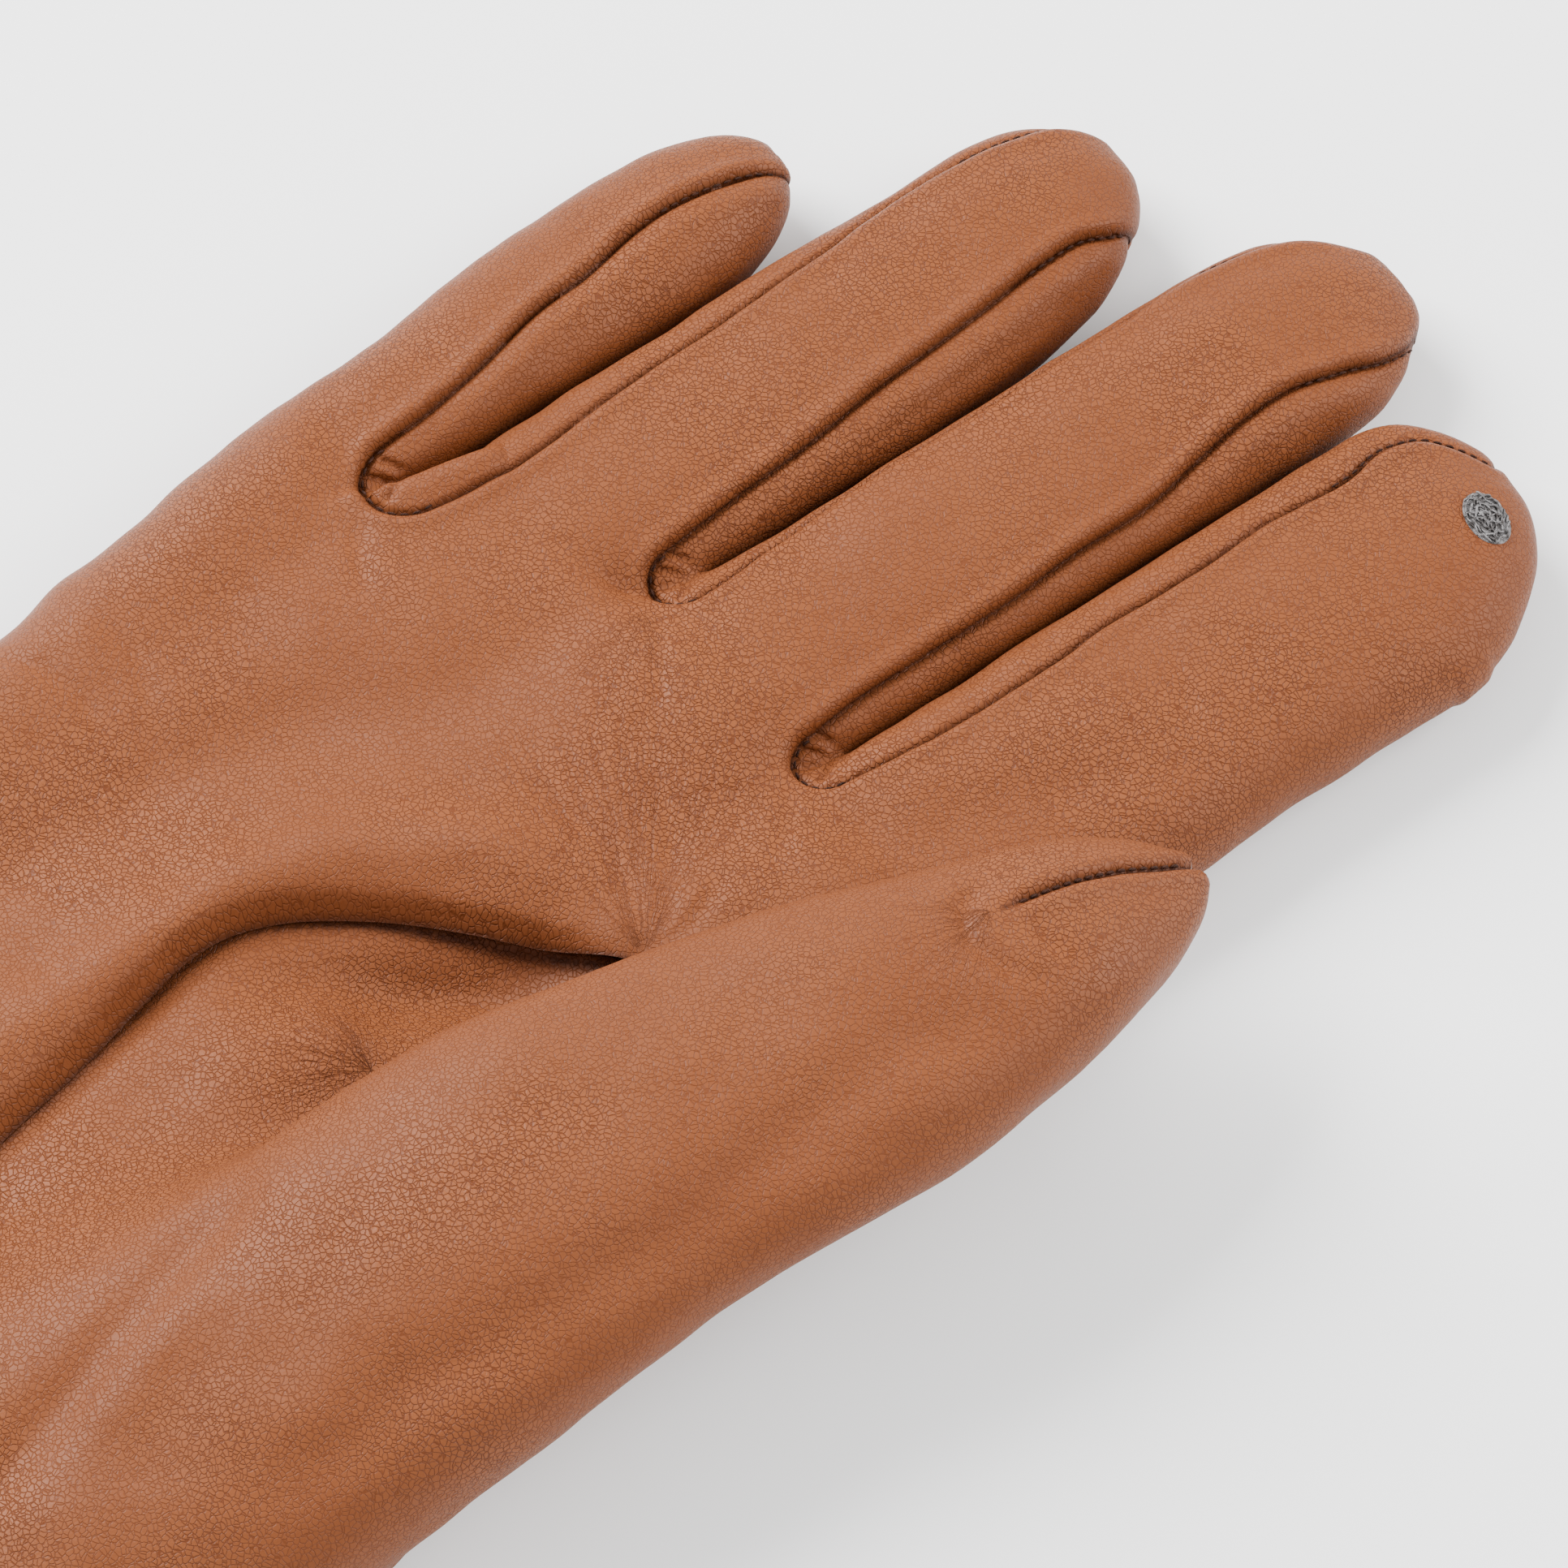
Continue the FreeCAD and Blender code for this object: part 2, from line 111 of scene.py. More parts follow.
# Palm side seams at each fork: rows of (y, x), first the left finger's, then the right finger's
FORK_SEAMS = {
    "little_ring": (
        [(16, -43.6), (21, -44.7), (28, -45.4), (36, -46.9), (44, -49.1), (51, -50.0), (59, -51.8),
         (69, -52.0), (76, -50.8), (79, -49.2)],
        [(16, -36.9), (22, -35.7), (30, -35.0), (44, -36.1), (53, -37.0), (61, -37.3), (74, -38.5),
         (84, -40.0), (93, -39.7), (99, -39.2), (105, -37.6), (109, -34.5)],
    ),
    "ring_middle": (
        [(34, -17.4), (40, -18.0), (48, -18.8), (59, -19.8), (68, -21.0), (75, -21.7), (84, -22.7),
         (92, -23.8), (97, -24.1), (101, -23.4), (104, -23.5), (106.5, -25.2)],
        [(34, -12.2), (40, -11.6), (47, -12.4), (56, -13.1), (75, -13.6), (95, -14.0), (106, -14.2),
         (112, -13.4), (118, -11.2), (122, -8.0)],
    ),
    "middle_index": (
        [(34, 8.6), (39, 8.2), (45, 7.7), (55, 7.5), (66, 7.2), (74, 6.6), (85, 6.2), (91, 5.0), (97, 3.9),
         (104, 3.5), (110, 4.5), (116, 5.5), (119.5, 4.9), (122.5, 3.0)],
        [(34, 13.6), (40, 14.5), (47, 15.5), (58, 15.9), (65, 15.7), (72, 15.0), (80, 15.4), (86, 15.2),
         (92, 14.6), (97, 15.0), (104, 15.0), (107, 14.2), (110, 14.4), (113, 15.6), (115, 17.8),
         (117.5, 21.5)],
    ),
}
FORK_BOTTOM = {"little_ring": 17.3, "ring_middle": 35.9, "middle_index": 35.9}
BACK_SEAM_OFF = 4.6  # on the back, fork seams run this far from the gap line
TIP_SEAM_Z = 5.2  # palm and back meet here round the fingertips and down the little finger side
GAP_OF = {"little": (None, "little_ring"), "ring": ("little_ring", "ring_middle"),
          "middle": ("ring_middle", "middle_index"), "index": ("middle_index", None)}
CROTCHES = {"little_ring": LOW_CROTCH_Y, "ring_middle": CROTCH_Y, "middle_index": CROTCH_Y}

# The hand: rows of (y, ulnar x, radial x)
HAND_EDGE = [
    (-126, -52.4, 49.6), (-108, -51.0, 50.2), (-92, -49.6, 52.0), (-76, -48.8, 54.8), (-60, -48.4, 57.4),
    (-46, -48.9, 57.6), (-36, -49.5, 55.0), (-23, -50.6, 51.0), (-8, -52.2, 47.6), (10, -54.0, 44.4),
    (30, -57.2, 41.8), (50, -60.0, 40.6),
]

# The thumb: rows of (y, centre x, half width, middle z, half height), then where the tip starts and ends
THUMB_ROWS = [
    (-90, 33.0, 20.0, 6.0, 9.0), (-70, 37.0, 21.0, 9.0, 11.0), (-50, 38.5, 21.0, 14.0, 12.0),
    (-34, 38.6, 20.8, 18.5, 11.6), (-18, 38.8, 20.4, 21.8, 10.0), (-6, 39.6, 19.2, 23.2, 8.9),
    (8, 41.8, 17.9, 23.8, 8.4), (20, 43.4, 16.6, 23.8, 8.3), (33, 44.8, 13.9, 23.4, 8.0),
    (44.6, 45.4, 11.0, 22.6, 7.3), (52, 45.8, 9.6, 21.6, 6.5), (61, 46.6, 8.0, 20.6, 5.6),
]
THUMB_TIP = (40.0, 60.6)
THUMB_POWER = 2.4
# The edge of the hole in the palm that the thumb piece is sewn into
HOLE_EDGE = [
    (24.5, 13.2), (17.8, 8.3), (11.3, 2.4), (4.6, -3.6), (-1.8, -10.8), (-6.4, -18.9), (-7.2, -26.4),
    (-5.3, -34.2), (-3.0, -42.9), (-1.1, -53.2), (2.0, -65.0), (8.0, -76.0), (18.0, -85.0), (31.0, -89.0),
    (43.0, -85.0), (51.0, -75.0), (56.0, -62.0), (62.0, -40.0), (62.0, -20.0), (58.0, -2.0), (44.0, 6.0),
    (30.0, 10.0),
]
GUSSET_Z = 12.2  # height of the gusset at its seam
GUSSET_UNDER = 1.6  # the gusset runs on this far under the palm's lip
POCKET_DEPTH = 5.2  # the hollow between the thumb and the palm seam
PUFF_HEIGHT = 1.5  # the small swelling below the hollow
THUMB_BASE_Z = 2.6  # the thumb piece ends this high, inside the hand
THUMB_END_Y = -95.0

# Where the pieces part. Each finger: where its root piece starts, and where the tip piece takes over
PART_Y = {"little": (20.0, 35.5), "ring": (38.0, 61.5), "middle": (38.0, 63.0), "index": (38.5, 65.5)}
THUMB_PART_Y = 24.5
SWING_TURN = math.radians(14.0)  # direction, from +Y, along which the lining's thumb part is measured from the thumb's pivot
SWING_BEFORE, SWING_AFTER = 19.0, 15.0  # the lining's thumb part starts this far behind the pivot along that direction
REFINE_BANDS = (2.4, 1.1)  # triangles this close to a seam are split in four, once for each number
HEM_JOIN_Y = -112.0  # the turned hem ends here, inside and out
HEM_THICK = 1.85
LINING_IN = 1.7
LINING_STEP = 1.6
FINGER_ORDER = ["little", "ring", "middle", "index"]
FORK_ORDER = ["little_ring", "ring_middle", "middle_index"]
LEVELS = ("lower", "upper")

# Soft folds and creases: (line in plan, height, half width). Negative heights are hollows
PALM_FOLDS = [
    ([(-26, -84), (-25.7, -60), (-25.9, -37.6), (-25.4, -22.9), (-23.1, -9.6), (-20, 3.2),
      (-16, 13)], -1.7, 6.5),
    ([(-3, -84), (-6.5, -64), (-8.6, -48.4), (-10.2, -32.9), (-10.6, -17.8), (-6.8, -5.9), (0.4, 3.8),
      (8, 9), (13.5, 11.4)], 1.9, 4.6),
    ([(-44, -75), (-43, -52), (-42.5, -28), (-44, -8), (-47, 9)], 0.5, 5.0),
    ([(22.5, 35), (26, 47), (30, 60), (33, 72)], -0.8, 4.5),
    ([(15, 30), (20, 37), (24, 40)], -0.5, 3.0),
    ([(-48, -25), (-43, -21.5), (-38, -19.8), (-34, -20.2)], -0.45, 1.0),
    ([(-45, -14), (-39, -12.5), (-33, -14)], -0.3, 0.9),
    ([(-12.4, 34.5), (-9, 32.5), (-5, 29.5), (-1, 27)], -0.4, 0.9),
    ([(-38.5, 15), (-35, 12.5), (-31, 11)], -0.35, 0.9),
    ([(12.6, 33.5), (16, 31), (19, 27.5)], -0.4, 1.0),
    ([(20.5, 75.5), (26, 73.8), (31, 72.0)], -0.22, 0.8),
    ([(19.3, 11.2), (17.0, 15.5), (11.0, 20.0), (3.0, 23.5)], -0.35, 1.0),
    ([(18.6, 11.0), (13.0, 13.6), (5.5, 14.2), (-3.5, 12.0)], -0.4, 1.1),
    ([(19.8, 12.0), (19.6, 17.0), (17.0, 23.0)], -0.3, 0.9),
]
BACK_FOLDS = [
    ([(39.7, 98.0), (38.2, 104.0)], 0.7, 3.4),
    ([(-20, -60), (-14, -20), (-16, 15)], -0.6, 7.0),
    ([(12, -70), (16, -30), (14, 10)], -0.6, 7.0),
]
THUMB_FOLDS = [
    ([(51.5, 36), (50.6, 27.8), (49.6, 20.6), (50.6, 7.6), (52.6, -3), (52.2, -22.5), (50.6, -38),
      (52, -60)], -1.0, 3.8),
    ([(20.4, -34), (22.6, -42), (25.8, -50.5), (29.2, -62.2), (32.4, -73.7), (34, -82)], -1.3, 3.0),
    ([(28, -44), (31, -56), (35, -68)], 0.5, 4.0),
    ([(38.6, 39), (39.6, 35.6), (43.4, 33.6), (47.4, 34.9), (50.6, 36.4)], -0.75, 1.0),
    ([(41.6, 36.0), (42.6, 36.2)], 0.55, 1.5),
    ([(46.4, 38.6), (48.6, 37.8), (50.6, 38.8)], 0.35, 1.0),
    ([(44.6, 40.6), (47.6, 40.2), (50.6, 41.6)], -0.4, 0.9),
    ([(13.8, -17.6), (12.2, -21.6), (12.6, -25.4)], -0.5, 1.0),
    ([(14.6, -19.0), (15.6, -24.0), (17.5, -29.0)], -0.35, 1.1),
]
# Small tucks in the side strips at the bottom of each fork, from the gap line and the bottom of the fork
FORK_TUCKS = [
    ((-2.6, 1.6), (-0.4, 4.2)), ((-0.8, 0.8), (0.0, 4.0)),
    ((1.8, 1.2), (0.4, 4.0)), ((-3.4, 3.6), (-1.0, 5.6)),
]

# The seam at the tip of the thumb, and the thread
DART = [(42.3, 38.8), (42.8, 43.8), (43.3, 47.8), (44.1, 52.0), (45.4, 56.0), (46.6, 61.5)]
STITCH_SINK = 0.52
STITCHED_TIP = 17.0  # the thread shows over this length of each finger seam

# The touch patch
PATCH_CENTRE = (27.2, 112.0)
PATCH_RX, PATCH_RY, PATCH_TURN = 3.3, 2.45, math.radians(-13.0)

# Fans of fine wrinkles, whose creases also get painted shade in the leather colour: centre, direction of the
# middle of the fan, half angle, length, how many, depth in mm
FANS = [
    ((20.0, 11.0, 15.5), 150.0, 50.0, 38.0, 7.5, 0.085),
    ((-12.6, 33.5, 14.5), -50.0, 50.0, 20.0, 7.0, 0.06),
    ((14.6, -18.5, 16.0), -150.0, 75.0, 15.0, 8.0, 0.10),
    ((42.3, 37.5, 28.5), -90.0, 75.0, 14.0, 8.0, 0.08),
]

# Leather colours and gloss
LEATHER_LIGHT = (0.163, 0.0495, 0.0165, 1.0)
LEATHER_DEEP = (0.136, 0.0390, 0.0122, 1.0)
# Darker tone of the grain's cracks, also used as painted shade along the wrinkle creases
LEATHER_VALLEY_AND_CREASE_SHADE = (0.065, 0.0145, 0.0035, 1.0)
LEATHER_SEAM = (0.028, 0.0065, 0.002, 1.0)
LEATHER_ROUGH = 0.40
GRAIN = 1.75  # pebbles to the millimetre

# Threads: dark and light tone, roughness, metal, and how close the twist is
SEWING_THREAD = ((0.018, 0.005, 0.002, 1), (0.035, 0.010, 0.004, 1), 0.8, 0.0, 2.0)
TOUCH_THREAD = ((0.035, 0.030, 0.028, 1), (0.20, 0.19, 0.19, 1), 0.42, 0.35, 2.5)

# Studio: name, place in metres, size in metres and power of each lamp
LAMPS = (
    ("key", (-0.95, -0.30, 0.85), 0.9, 61.0),
    ("fill", (0.55, 1.05, 0.75), 0.8, 28.0),
)
SKY = 1.25
FLOOR_HALF = 3.0
FLOOR_TONE = 0.9


def smooth_table(rows):
    """A smooth curve through rows of (position, value, value...). Returns a function of position."""
    table = np.array(rows, float)
    at, values = table[:, 0], table[:, 1:]
    slope = np.gradient(values, at, axis=0)

    def curve(t):
        t = np.clip(t, at[0], at[-1])
        i = np.clip(np.searchsorted(at, t) - 1, 0, len(at) - 2)
        width = at[i + 1] - at[i]
        s = ((t - at[i]) / width)[..., None]
        a, b = values[i], values[i + 1]
        ma, mb = slope[i] * width[..., None], slope[i + 1] * width[..., None]
        s2, s3 = s * s, s * s * s
        out = a * (2 * s3 - 3 * s2 + 1) + ma * (s3 - 2 * s2 + s) + b * (3 * s2 - 2 * s3) + mb * (s3 - s2)
        return [out[..., k] for k in range(out.shape[-1])]

    return curve


def smooth_min(a, b, k):
    """The smaller of two values, rounded over where they are within k of each other."""
    h = np.clip(0.5 + 0.5 * (b - a) / k, 0, 1)
    return b + (a - b) * h - k * h * (1 - h)


def smooth_max(a, b, k):
    return -smooth_min(-a, -b, k)


def ramp(t, lo, hi):
    """0 below lo, 1 above hi, and a smooth step between."""
    t = np.clip((t - lo) / (hi - lo), 0, 1)
    return t * t * (3 - 2 * t)


def tube(x, y, z, rows, tip, power, n=2.5, ratio=None):
    """First-order distance to a flattened tube along Y with a rounded tip."""
    cx, w, cz, h = rows(y)
    if ratio is not None:
        w, h = w * ratio, h * ratio
    a, b = np.abs(x - cx) / w, np.abs(z - cz) / h
    r = np.maximum((a**n + b**n) ** (1 / n), 0.25)
    t = np.maximum((y - tip[0]) / (tip[1] - tip[0]), 0)
    end = t**power
    rho = np.sqrt(r * r + end)
    gx = r ** (2 - n) * a ** (n - 1) / w / rho
    gz = r ** (2 - n) * b ** (n - 1) / h / rho
    gy = power * t ** (power - 1) / (2 * rho * (tip[1] - tip[0]))
    slope = np.maximum(np.sqrt(gx * gx + gy * gy + gz * gz), 0.03)
    return (rho - 1) / slope


FINGER_ROWS = {name: smooth_table(f["rows"]) for name, f in FINGERS.items()}
GAP_X = {name: smooth_table(rows) for name, rows in GAP_LINES.items()}
EDGE_X = smooth_table(HAND_EDGE)


def hand_field(x, y, z):
    """The hand and its four fingers, without the thumb. Negative inside."""
    ulnar, radial = EDGE_X(y)
    cx, w = (ulnar + radial) / 2, (radial - ulnar) / 2
    crown = 1 + 0.07 * (1 - np.clip((x - cx) / w, -1, 1) ** 2)
    half = HALF_Z - 0.5
    zz = (z - MID_Z) / crown
    over = np.maximum(np.abs(x - cx) - (w - half), 0)
    slab = np.sqrt(over * over + zz * zz) - half
    low = LOW_CROTCH_Y - 2.5
    high = CROTCH_Y - 2.5
    end_y = low + (high - low) * ramp(x, -43.0, -37.5)
    slab = smooth_max(slab, y - end_y, 5.0)
    out = slab
    for name, finger in FINGERS.items():
        base = LOW_CROTCH_Y if name == "little" else CROTCH_Y
        ratio = 0.72 + 0.28 * ramp(y, base - 30.0, base + 1.0)
        f = tube(x, y, z, FINGER_ROWS[name], finger["tip"], finger["power"], ratio=ratio)
        f = smooth_max(f, base - 34.0 - y, 6.0)
        left, right = GAP_OF[name]
        bottom = CROTCHES[left or right]
        open_y = ramp(y, bottom - 6.0, bottom + 2.0)
        if left:
            wall = GAP_X[left](y)[0] + GAP_HALF - x
            f = np.where(open_y > 0, smooth_max(f, wall - 8 * (1 - open_y), 1.2), f)
        if right:
            wall = x - GAP_X[right](y)[0] + GAP_HALF
            f = np.where(open_y > 0, smooth_max(f, wall - 8 * (1 - open_y), 1.2), f)
        near_root = 1 - ramp(y, bottom - 4.0, bottom + 14.0)
        out = np.where(near_root > 0, smooth_min(out, f, 0.4 + 5.0 * near_root), np.minimum(out, f))
    return out


THUMB_PATH = smooth_table(THUMB_ROWS)


def polygon_distance(x, y, points):
    """Signed distance to a closed polygon in plan, positive inside."""
    best = np.full(x.shape, 1e9)
    inside = np.zeros(x.shape, bool)
    for (x0, y0), (x1, y1) in zip(points, points[1:] + points[:1]):
        dx, dy = x1 - x0, y1 - y0
        t = np.clip(((x - x0) * dx + (y - y0) * dy) / (dx * dx + dy * dy), 0, 1)
        best = np.minimum(best, np.hypot(x - x0 - t * dx, y - y0 - t * dy))
        crosses = (y0 > y) != (y1 > y)
        with np.errstate(divide="ignore", invalid="ignore"):
            inside ^= crosses & (x < (x1 - x0) * (y - y0) / (y1 - y0) + x0)
    return np.where(inside, best, -best)


def rounded_loop(points, rounds=3):
    """Cuts the corners of a closed polygon until it is a smooth loop."""
    loop = np.array(points, float)
    for _ in range(rounds):
        after = np.roll(loop, -1, axis=0)
        loop = np.stack([0.75 * loop + 0.25 * after, 0.25 * loop + 0.75 * after], 1).reshape(-1, 2)
    return [tuple(q) for q in loop]


HOLE_X, HOLE_Y, HOLE_STEP = np.arange(-80.0, 90.0, 0.5), np.arange(-135.0, 135.0, 0.5), 0.5
HOLE_MAP = polygon_distance(*np.meshgrid(HOLE_X, HOLE_Y, indexing="ij"), rounded_loop(HOLE_EDGE))


def in_hole(x, y):
    """How far inside the thumb hole a point of the plan is; negative outside."""
    u = np.clip((x - HOLE_X[0]) / HOLE_STEP, 0, len(HOLE_X) - 1.001)
    v = np.clip((y - HOLE_Y[0]) / HOLE_STEP, 0, len(HOLE_Y) - 1.001)
    i, j = u.astype(int), v.astype(int)
    a, b = u - i, v - j
    low = HOLE_MAP[i, j] * (1 - a) + HOLE_MAP[i + 1, j] * a
    high = HOLE_MAP[i, j + 1] * (1 - a) + HOLE_MAP[i + 1, j + 1] * a
    return low * (1 - b) + high * b


def thumb_field(x, y, z):
    """The thumb piece: the free thumb, its swelling root, and the gusset that dips to the palm seam."""
    shaft = tube(x, y, z, THUMB_PATH, THUMB_TIP, THUMB_POWER, n=2.4)
    shaft = smooth_max(shaft, THUMB_END_Y - y, 4.0)
    shaft = smooth_max(shaft, THUMB_BASE_Z - z, 4.0)
    inside = in_hole(x, y)
    rise = 2.3 * ramp(inside, 0.0, 15.0) * (1 - ramp(y, -34, -12))
    pocket = POCKET_DEPTH * np.exp(-(((x - 9.0 - (y + 8.0) * 0.6) / 6.5) ** 2 + ((y + 5.5) / 13.0) ** 2))
    puff = PUFF_HEIGHT * np.exp(-(((x - 8.0) / 4.5) ** 2 + ((y + 19.0) / 4.5) ** 2))
    top = GUSSET_Z + 0.9 * ramp(inside, 0.0, 3.5) + rise + puff - pocket + 1.0 * ramp(y, 0.0, 9.0)
    mound = smooth_max(z - top, -(inside + GUSSET_UNDER), 1.2) * 0.9
    mound = smooth_max(mound, x - np.minimum(46.0, EDGE_X(y)[1] - 2.5), 5.0)
    mound = smooth_max(mound, 4.0 - z, 2.0)
    blend = 1.2 + 13.0 * (1 - ramp(y, -52.0, -18.0))
    return smooth_min(shaft, mound, blend)


def surface_net(field, xs, ys, zs, to_real):
    """A quad mesh of a field's zero surface, sampled on a grid. to_real maps grid points to real ones."""
    gx, gy, gz = np.meshgrid(xs, ys, zs, indexing="ij")
    rx, ry, rz = to_real(gx, gy, gz)
    f = field(rx, ry, rz)
    neg = f < 0
    nx, ny, nz = f.shape
    corner = [(i, j, k) for i in (0, 1) for j in (0, 1) for k in (0, 1)]

    def at(a, c):
        return a[c[0]:nx - 1 + c[0], c[1]:ny - 1 + c[1], c[2]:nz - 1 + c[2]]

    count = sum(at(neg, c).astype(np.int8) for c in corner)
    active = (count > 0) & (count < 8)
    index = np.full(active.shape, -1, np.int64)
    ai, aj, ak = np.nonzero(active)
    index[ai, aj, ak] = np.arange(len(ai))
    total = np.zeros((len(ai), 3))
    hits = np.zeros(len(ai))
    for a in corner:
        for axis in range(3):
            if a[axis]:
                continue
            b = list(a)
            b[axis] = 1
            fa = f[ai + a[0], aj + a[1], ak + a[2]]
            fb = f[ai + b[0], aj + b[1], ak + b[2]]
            cross = (fa < 0) != (fb < 0)
            t = np.where(cross, fa / np.where(cross, fa - fb, 1), 0)
            p = np.stack([np.full(len(ai), float(a[m])) for m in range(3)], 1)
            p[:, axis] = t
            total += np.where(cross[:, None], p, 0)
            hits += cross
    local = total / hits[:, None]
    step = np.array([xs[1] - xs[0], ys[1] - ys[0], zs[1] - zs[0]])
    origin = np.stack([xs[ai], ys[aj], zs[ak]], 1)
    points = origin + local * step
    quads = []
    for axis in range(3):
        u, v = (axis + 1) % 3, (axis + 2) % 3
        shape = [nx, ny, nz]
        lo = [slice(1, -1)] * 3
        lo[axis] = slice(0, shape[axis] - 1)
        hi = list(lo)
        hi[axis] = slice(1, shape[axis])
        a, b = neg[tuple(lo)], neg[tuple(hi)]
        i, j, k = np.nonzero(a != b)
        start = np.stack([i, j, k], 1) + np.array([0 if m == axis else 1 for m in range(3)])
        inward = b[i, j, k]

        def cell(du, dv):
            c = start.copy()
            c[:, u] -= du
            c[:, v] -= dv
            return index[c[:, 0], c[:, 1], c[:, 2]]

        q = np.stack([cell(1, 1), cell(0, 1), cell(0, 0), cell(1, 0)], 1)
        q[inward] = q[inward][:, ::-1]
        quads.append(q)
    quads = np.concatenate(quads)
    quads = quads[(quads >= 0).all(1)]
    real = np.stack(to_real(points[:, 0], points[:, 1], points[:, 2]), 1)
    return real, quads


def triangles_of(points, quads):
    """Splits each quad along its shorter diagonal."""
    a, b, c, d = (points[quads[:, i]] for i in range(4))
    short = np.linalg.norm(a - c, axis=1) < np.linalg.norm(b - d, axis=1)
    one = np.where(short[:, None], quads[:, [0, 1, 2]], quads[:, [0, 1, 3]])
    two = np.where(short[:, None], quads[:, [0, 2, 3]], quads[:, [1, 2, 3]])
    return np.concatenate([one, two])


def settle(field, points, rounds=3, reach=0.5, first=0):
    """Moves points onto the zero surface of a field, from number first on."""
    e = 0.05
    if first:
        return np.concatenate([points[:first], settle(field, points[first:], rounds, reach)])
    for _ in range(rounds):
        x, y, z = points.T
        f = field(x, y, z)
        g = np.stack(
            [field(x + e, y, z) - field(x - e, y, z), field(x, y + e, z) - field(x, y - e, z),
             field(x, y, z + e) - field(x, y, z - e)], 1,
        ) / (2 * e)
        g2 = np.maximum((g * g).sum(1), 0.1)
        move = -(f / g2)[:, None] * g
        size = np.linalg.norm(move, axis=1, keepdims=True)
        move *= np.minimum(1, reach / np.maximum(size, 1e-9))
        points = points + move
    return points


def warp_to_real(gx, gy, gz):
    """Grid to real: takes the extra sampling room out again at each gap between fingers."""
    x = gx.copy()
    for name in ("middle_index", "ring_middle", "little_ring"):
        room = WARP_ROOM * ramp(gy, CROTCHES[name] - 5.0, CROTCHES[name] + 4.0)
        line = GAP_X[name](gy)[0]
        x = x - room * ramp(x - line, -WARP_HALF, WARP_HALF + room)
    return x, gy, gz


def mesh_object(name, points, tris, material=None):
    mesh = bpy.data.meshes.new(name)
    mesh.vertices.add(len(points))
    mesh.vertices.foreach_set("co", (points * MM).astype(np.float32).ravel())
    mesh.loops.add(tris.size)
    mesh.loops.foreach_set("vertex_index", tris.ravel().astype(np.int32))
    mesh.polygons.add(len(tris))
    mesh.polygons.foreach_set("loop_start", np.arange(0, tris.size, 3, dtype=np.int32))
    mesh.update(calc_edges=True)
    mesh.validate()
    mesh.shade_smooth()
    obj = bpy.data.objects.new(name, mesh)
    bpy.context.scene.collection.objects.link(obj)
    if material:
        mesh.materials.append(material)
    return obj


FORK_TABLES = {
    name: (smooth_table(left), smooth_table(right)) for name, (left, right) in FORK_SEAMS.items()
}


def refine(points, tris, wanted):
    """Splits the wanted triangles in four, and closes up their neighbours."""
    n = len(points)
    ends = np.concatenate([tris[:, [0, 1]], tris[:, [1, 2]], tris[:, [2, 0]]])
    low, high = ends.min(1).astype(np.int64), ends.max(1).astype(np.int64)
    keys, inverse = np.unique(low * n + high, return_inverse=True)
    side = inverse.reshape(3, -1).T
    marked = np.zeros(len(keys), bool)
    marked[side[wanted].ravel()] = True
    while True:
        count = marked[side].sum(1)
        two = count == 2
        if not two.any():
            break
        marked[side[two].ravel()] = True
    number = np.full(len(keys), -1, np.int64)
    number[marked] = n + np.arange(marked.sum())
    a, b = keys[marked] // n, keys[marked] % n
    points = np.concatenate([points, (points[a] + points[b]) / 2])
    mids = number[side]
    out = [tris[count == 0]]
    one = np.nonzero(count == 1)[0]
    which = marked[side[one]].argmax(1)
    v0, v1, v2 = (tris[one, (which + k) % 3] for k in range(3))
    m = mids[one, which]
    out += [np.stack([v0, m, v2], 1), np.stack([m, v1, v2], 1)]
    four = count == 3
    t, m = tris[four], mids[four]
    out += [np.stack([t[:, 0], m[:, 0], m[:, 2]], 1), np.stack([m[:, 0], t[:, 1], m[:, 1]], 1)]
    out += [np.stack([m[:, 2], m[:, 1], t[:, 2]], 1), m.copy()]
    return points, np.concatenate(out)


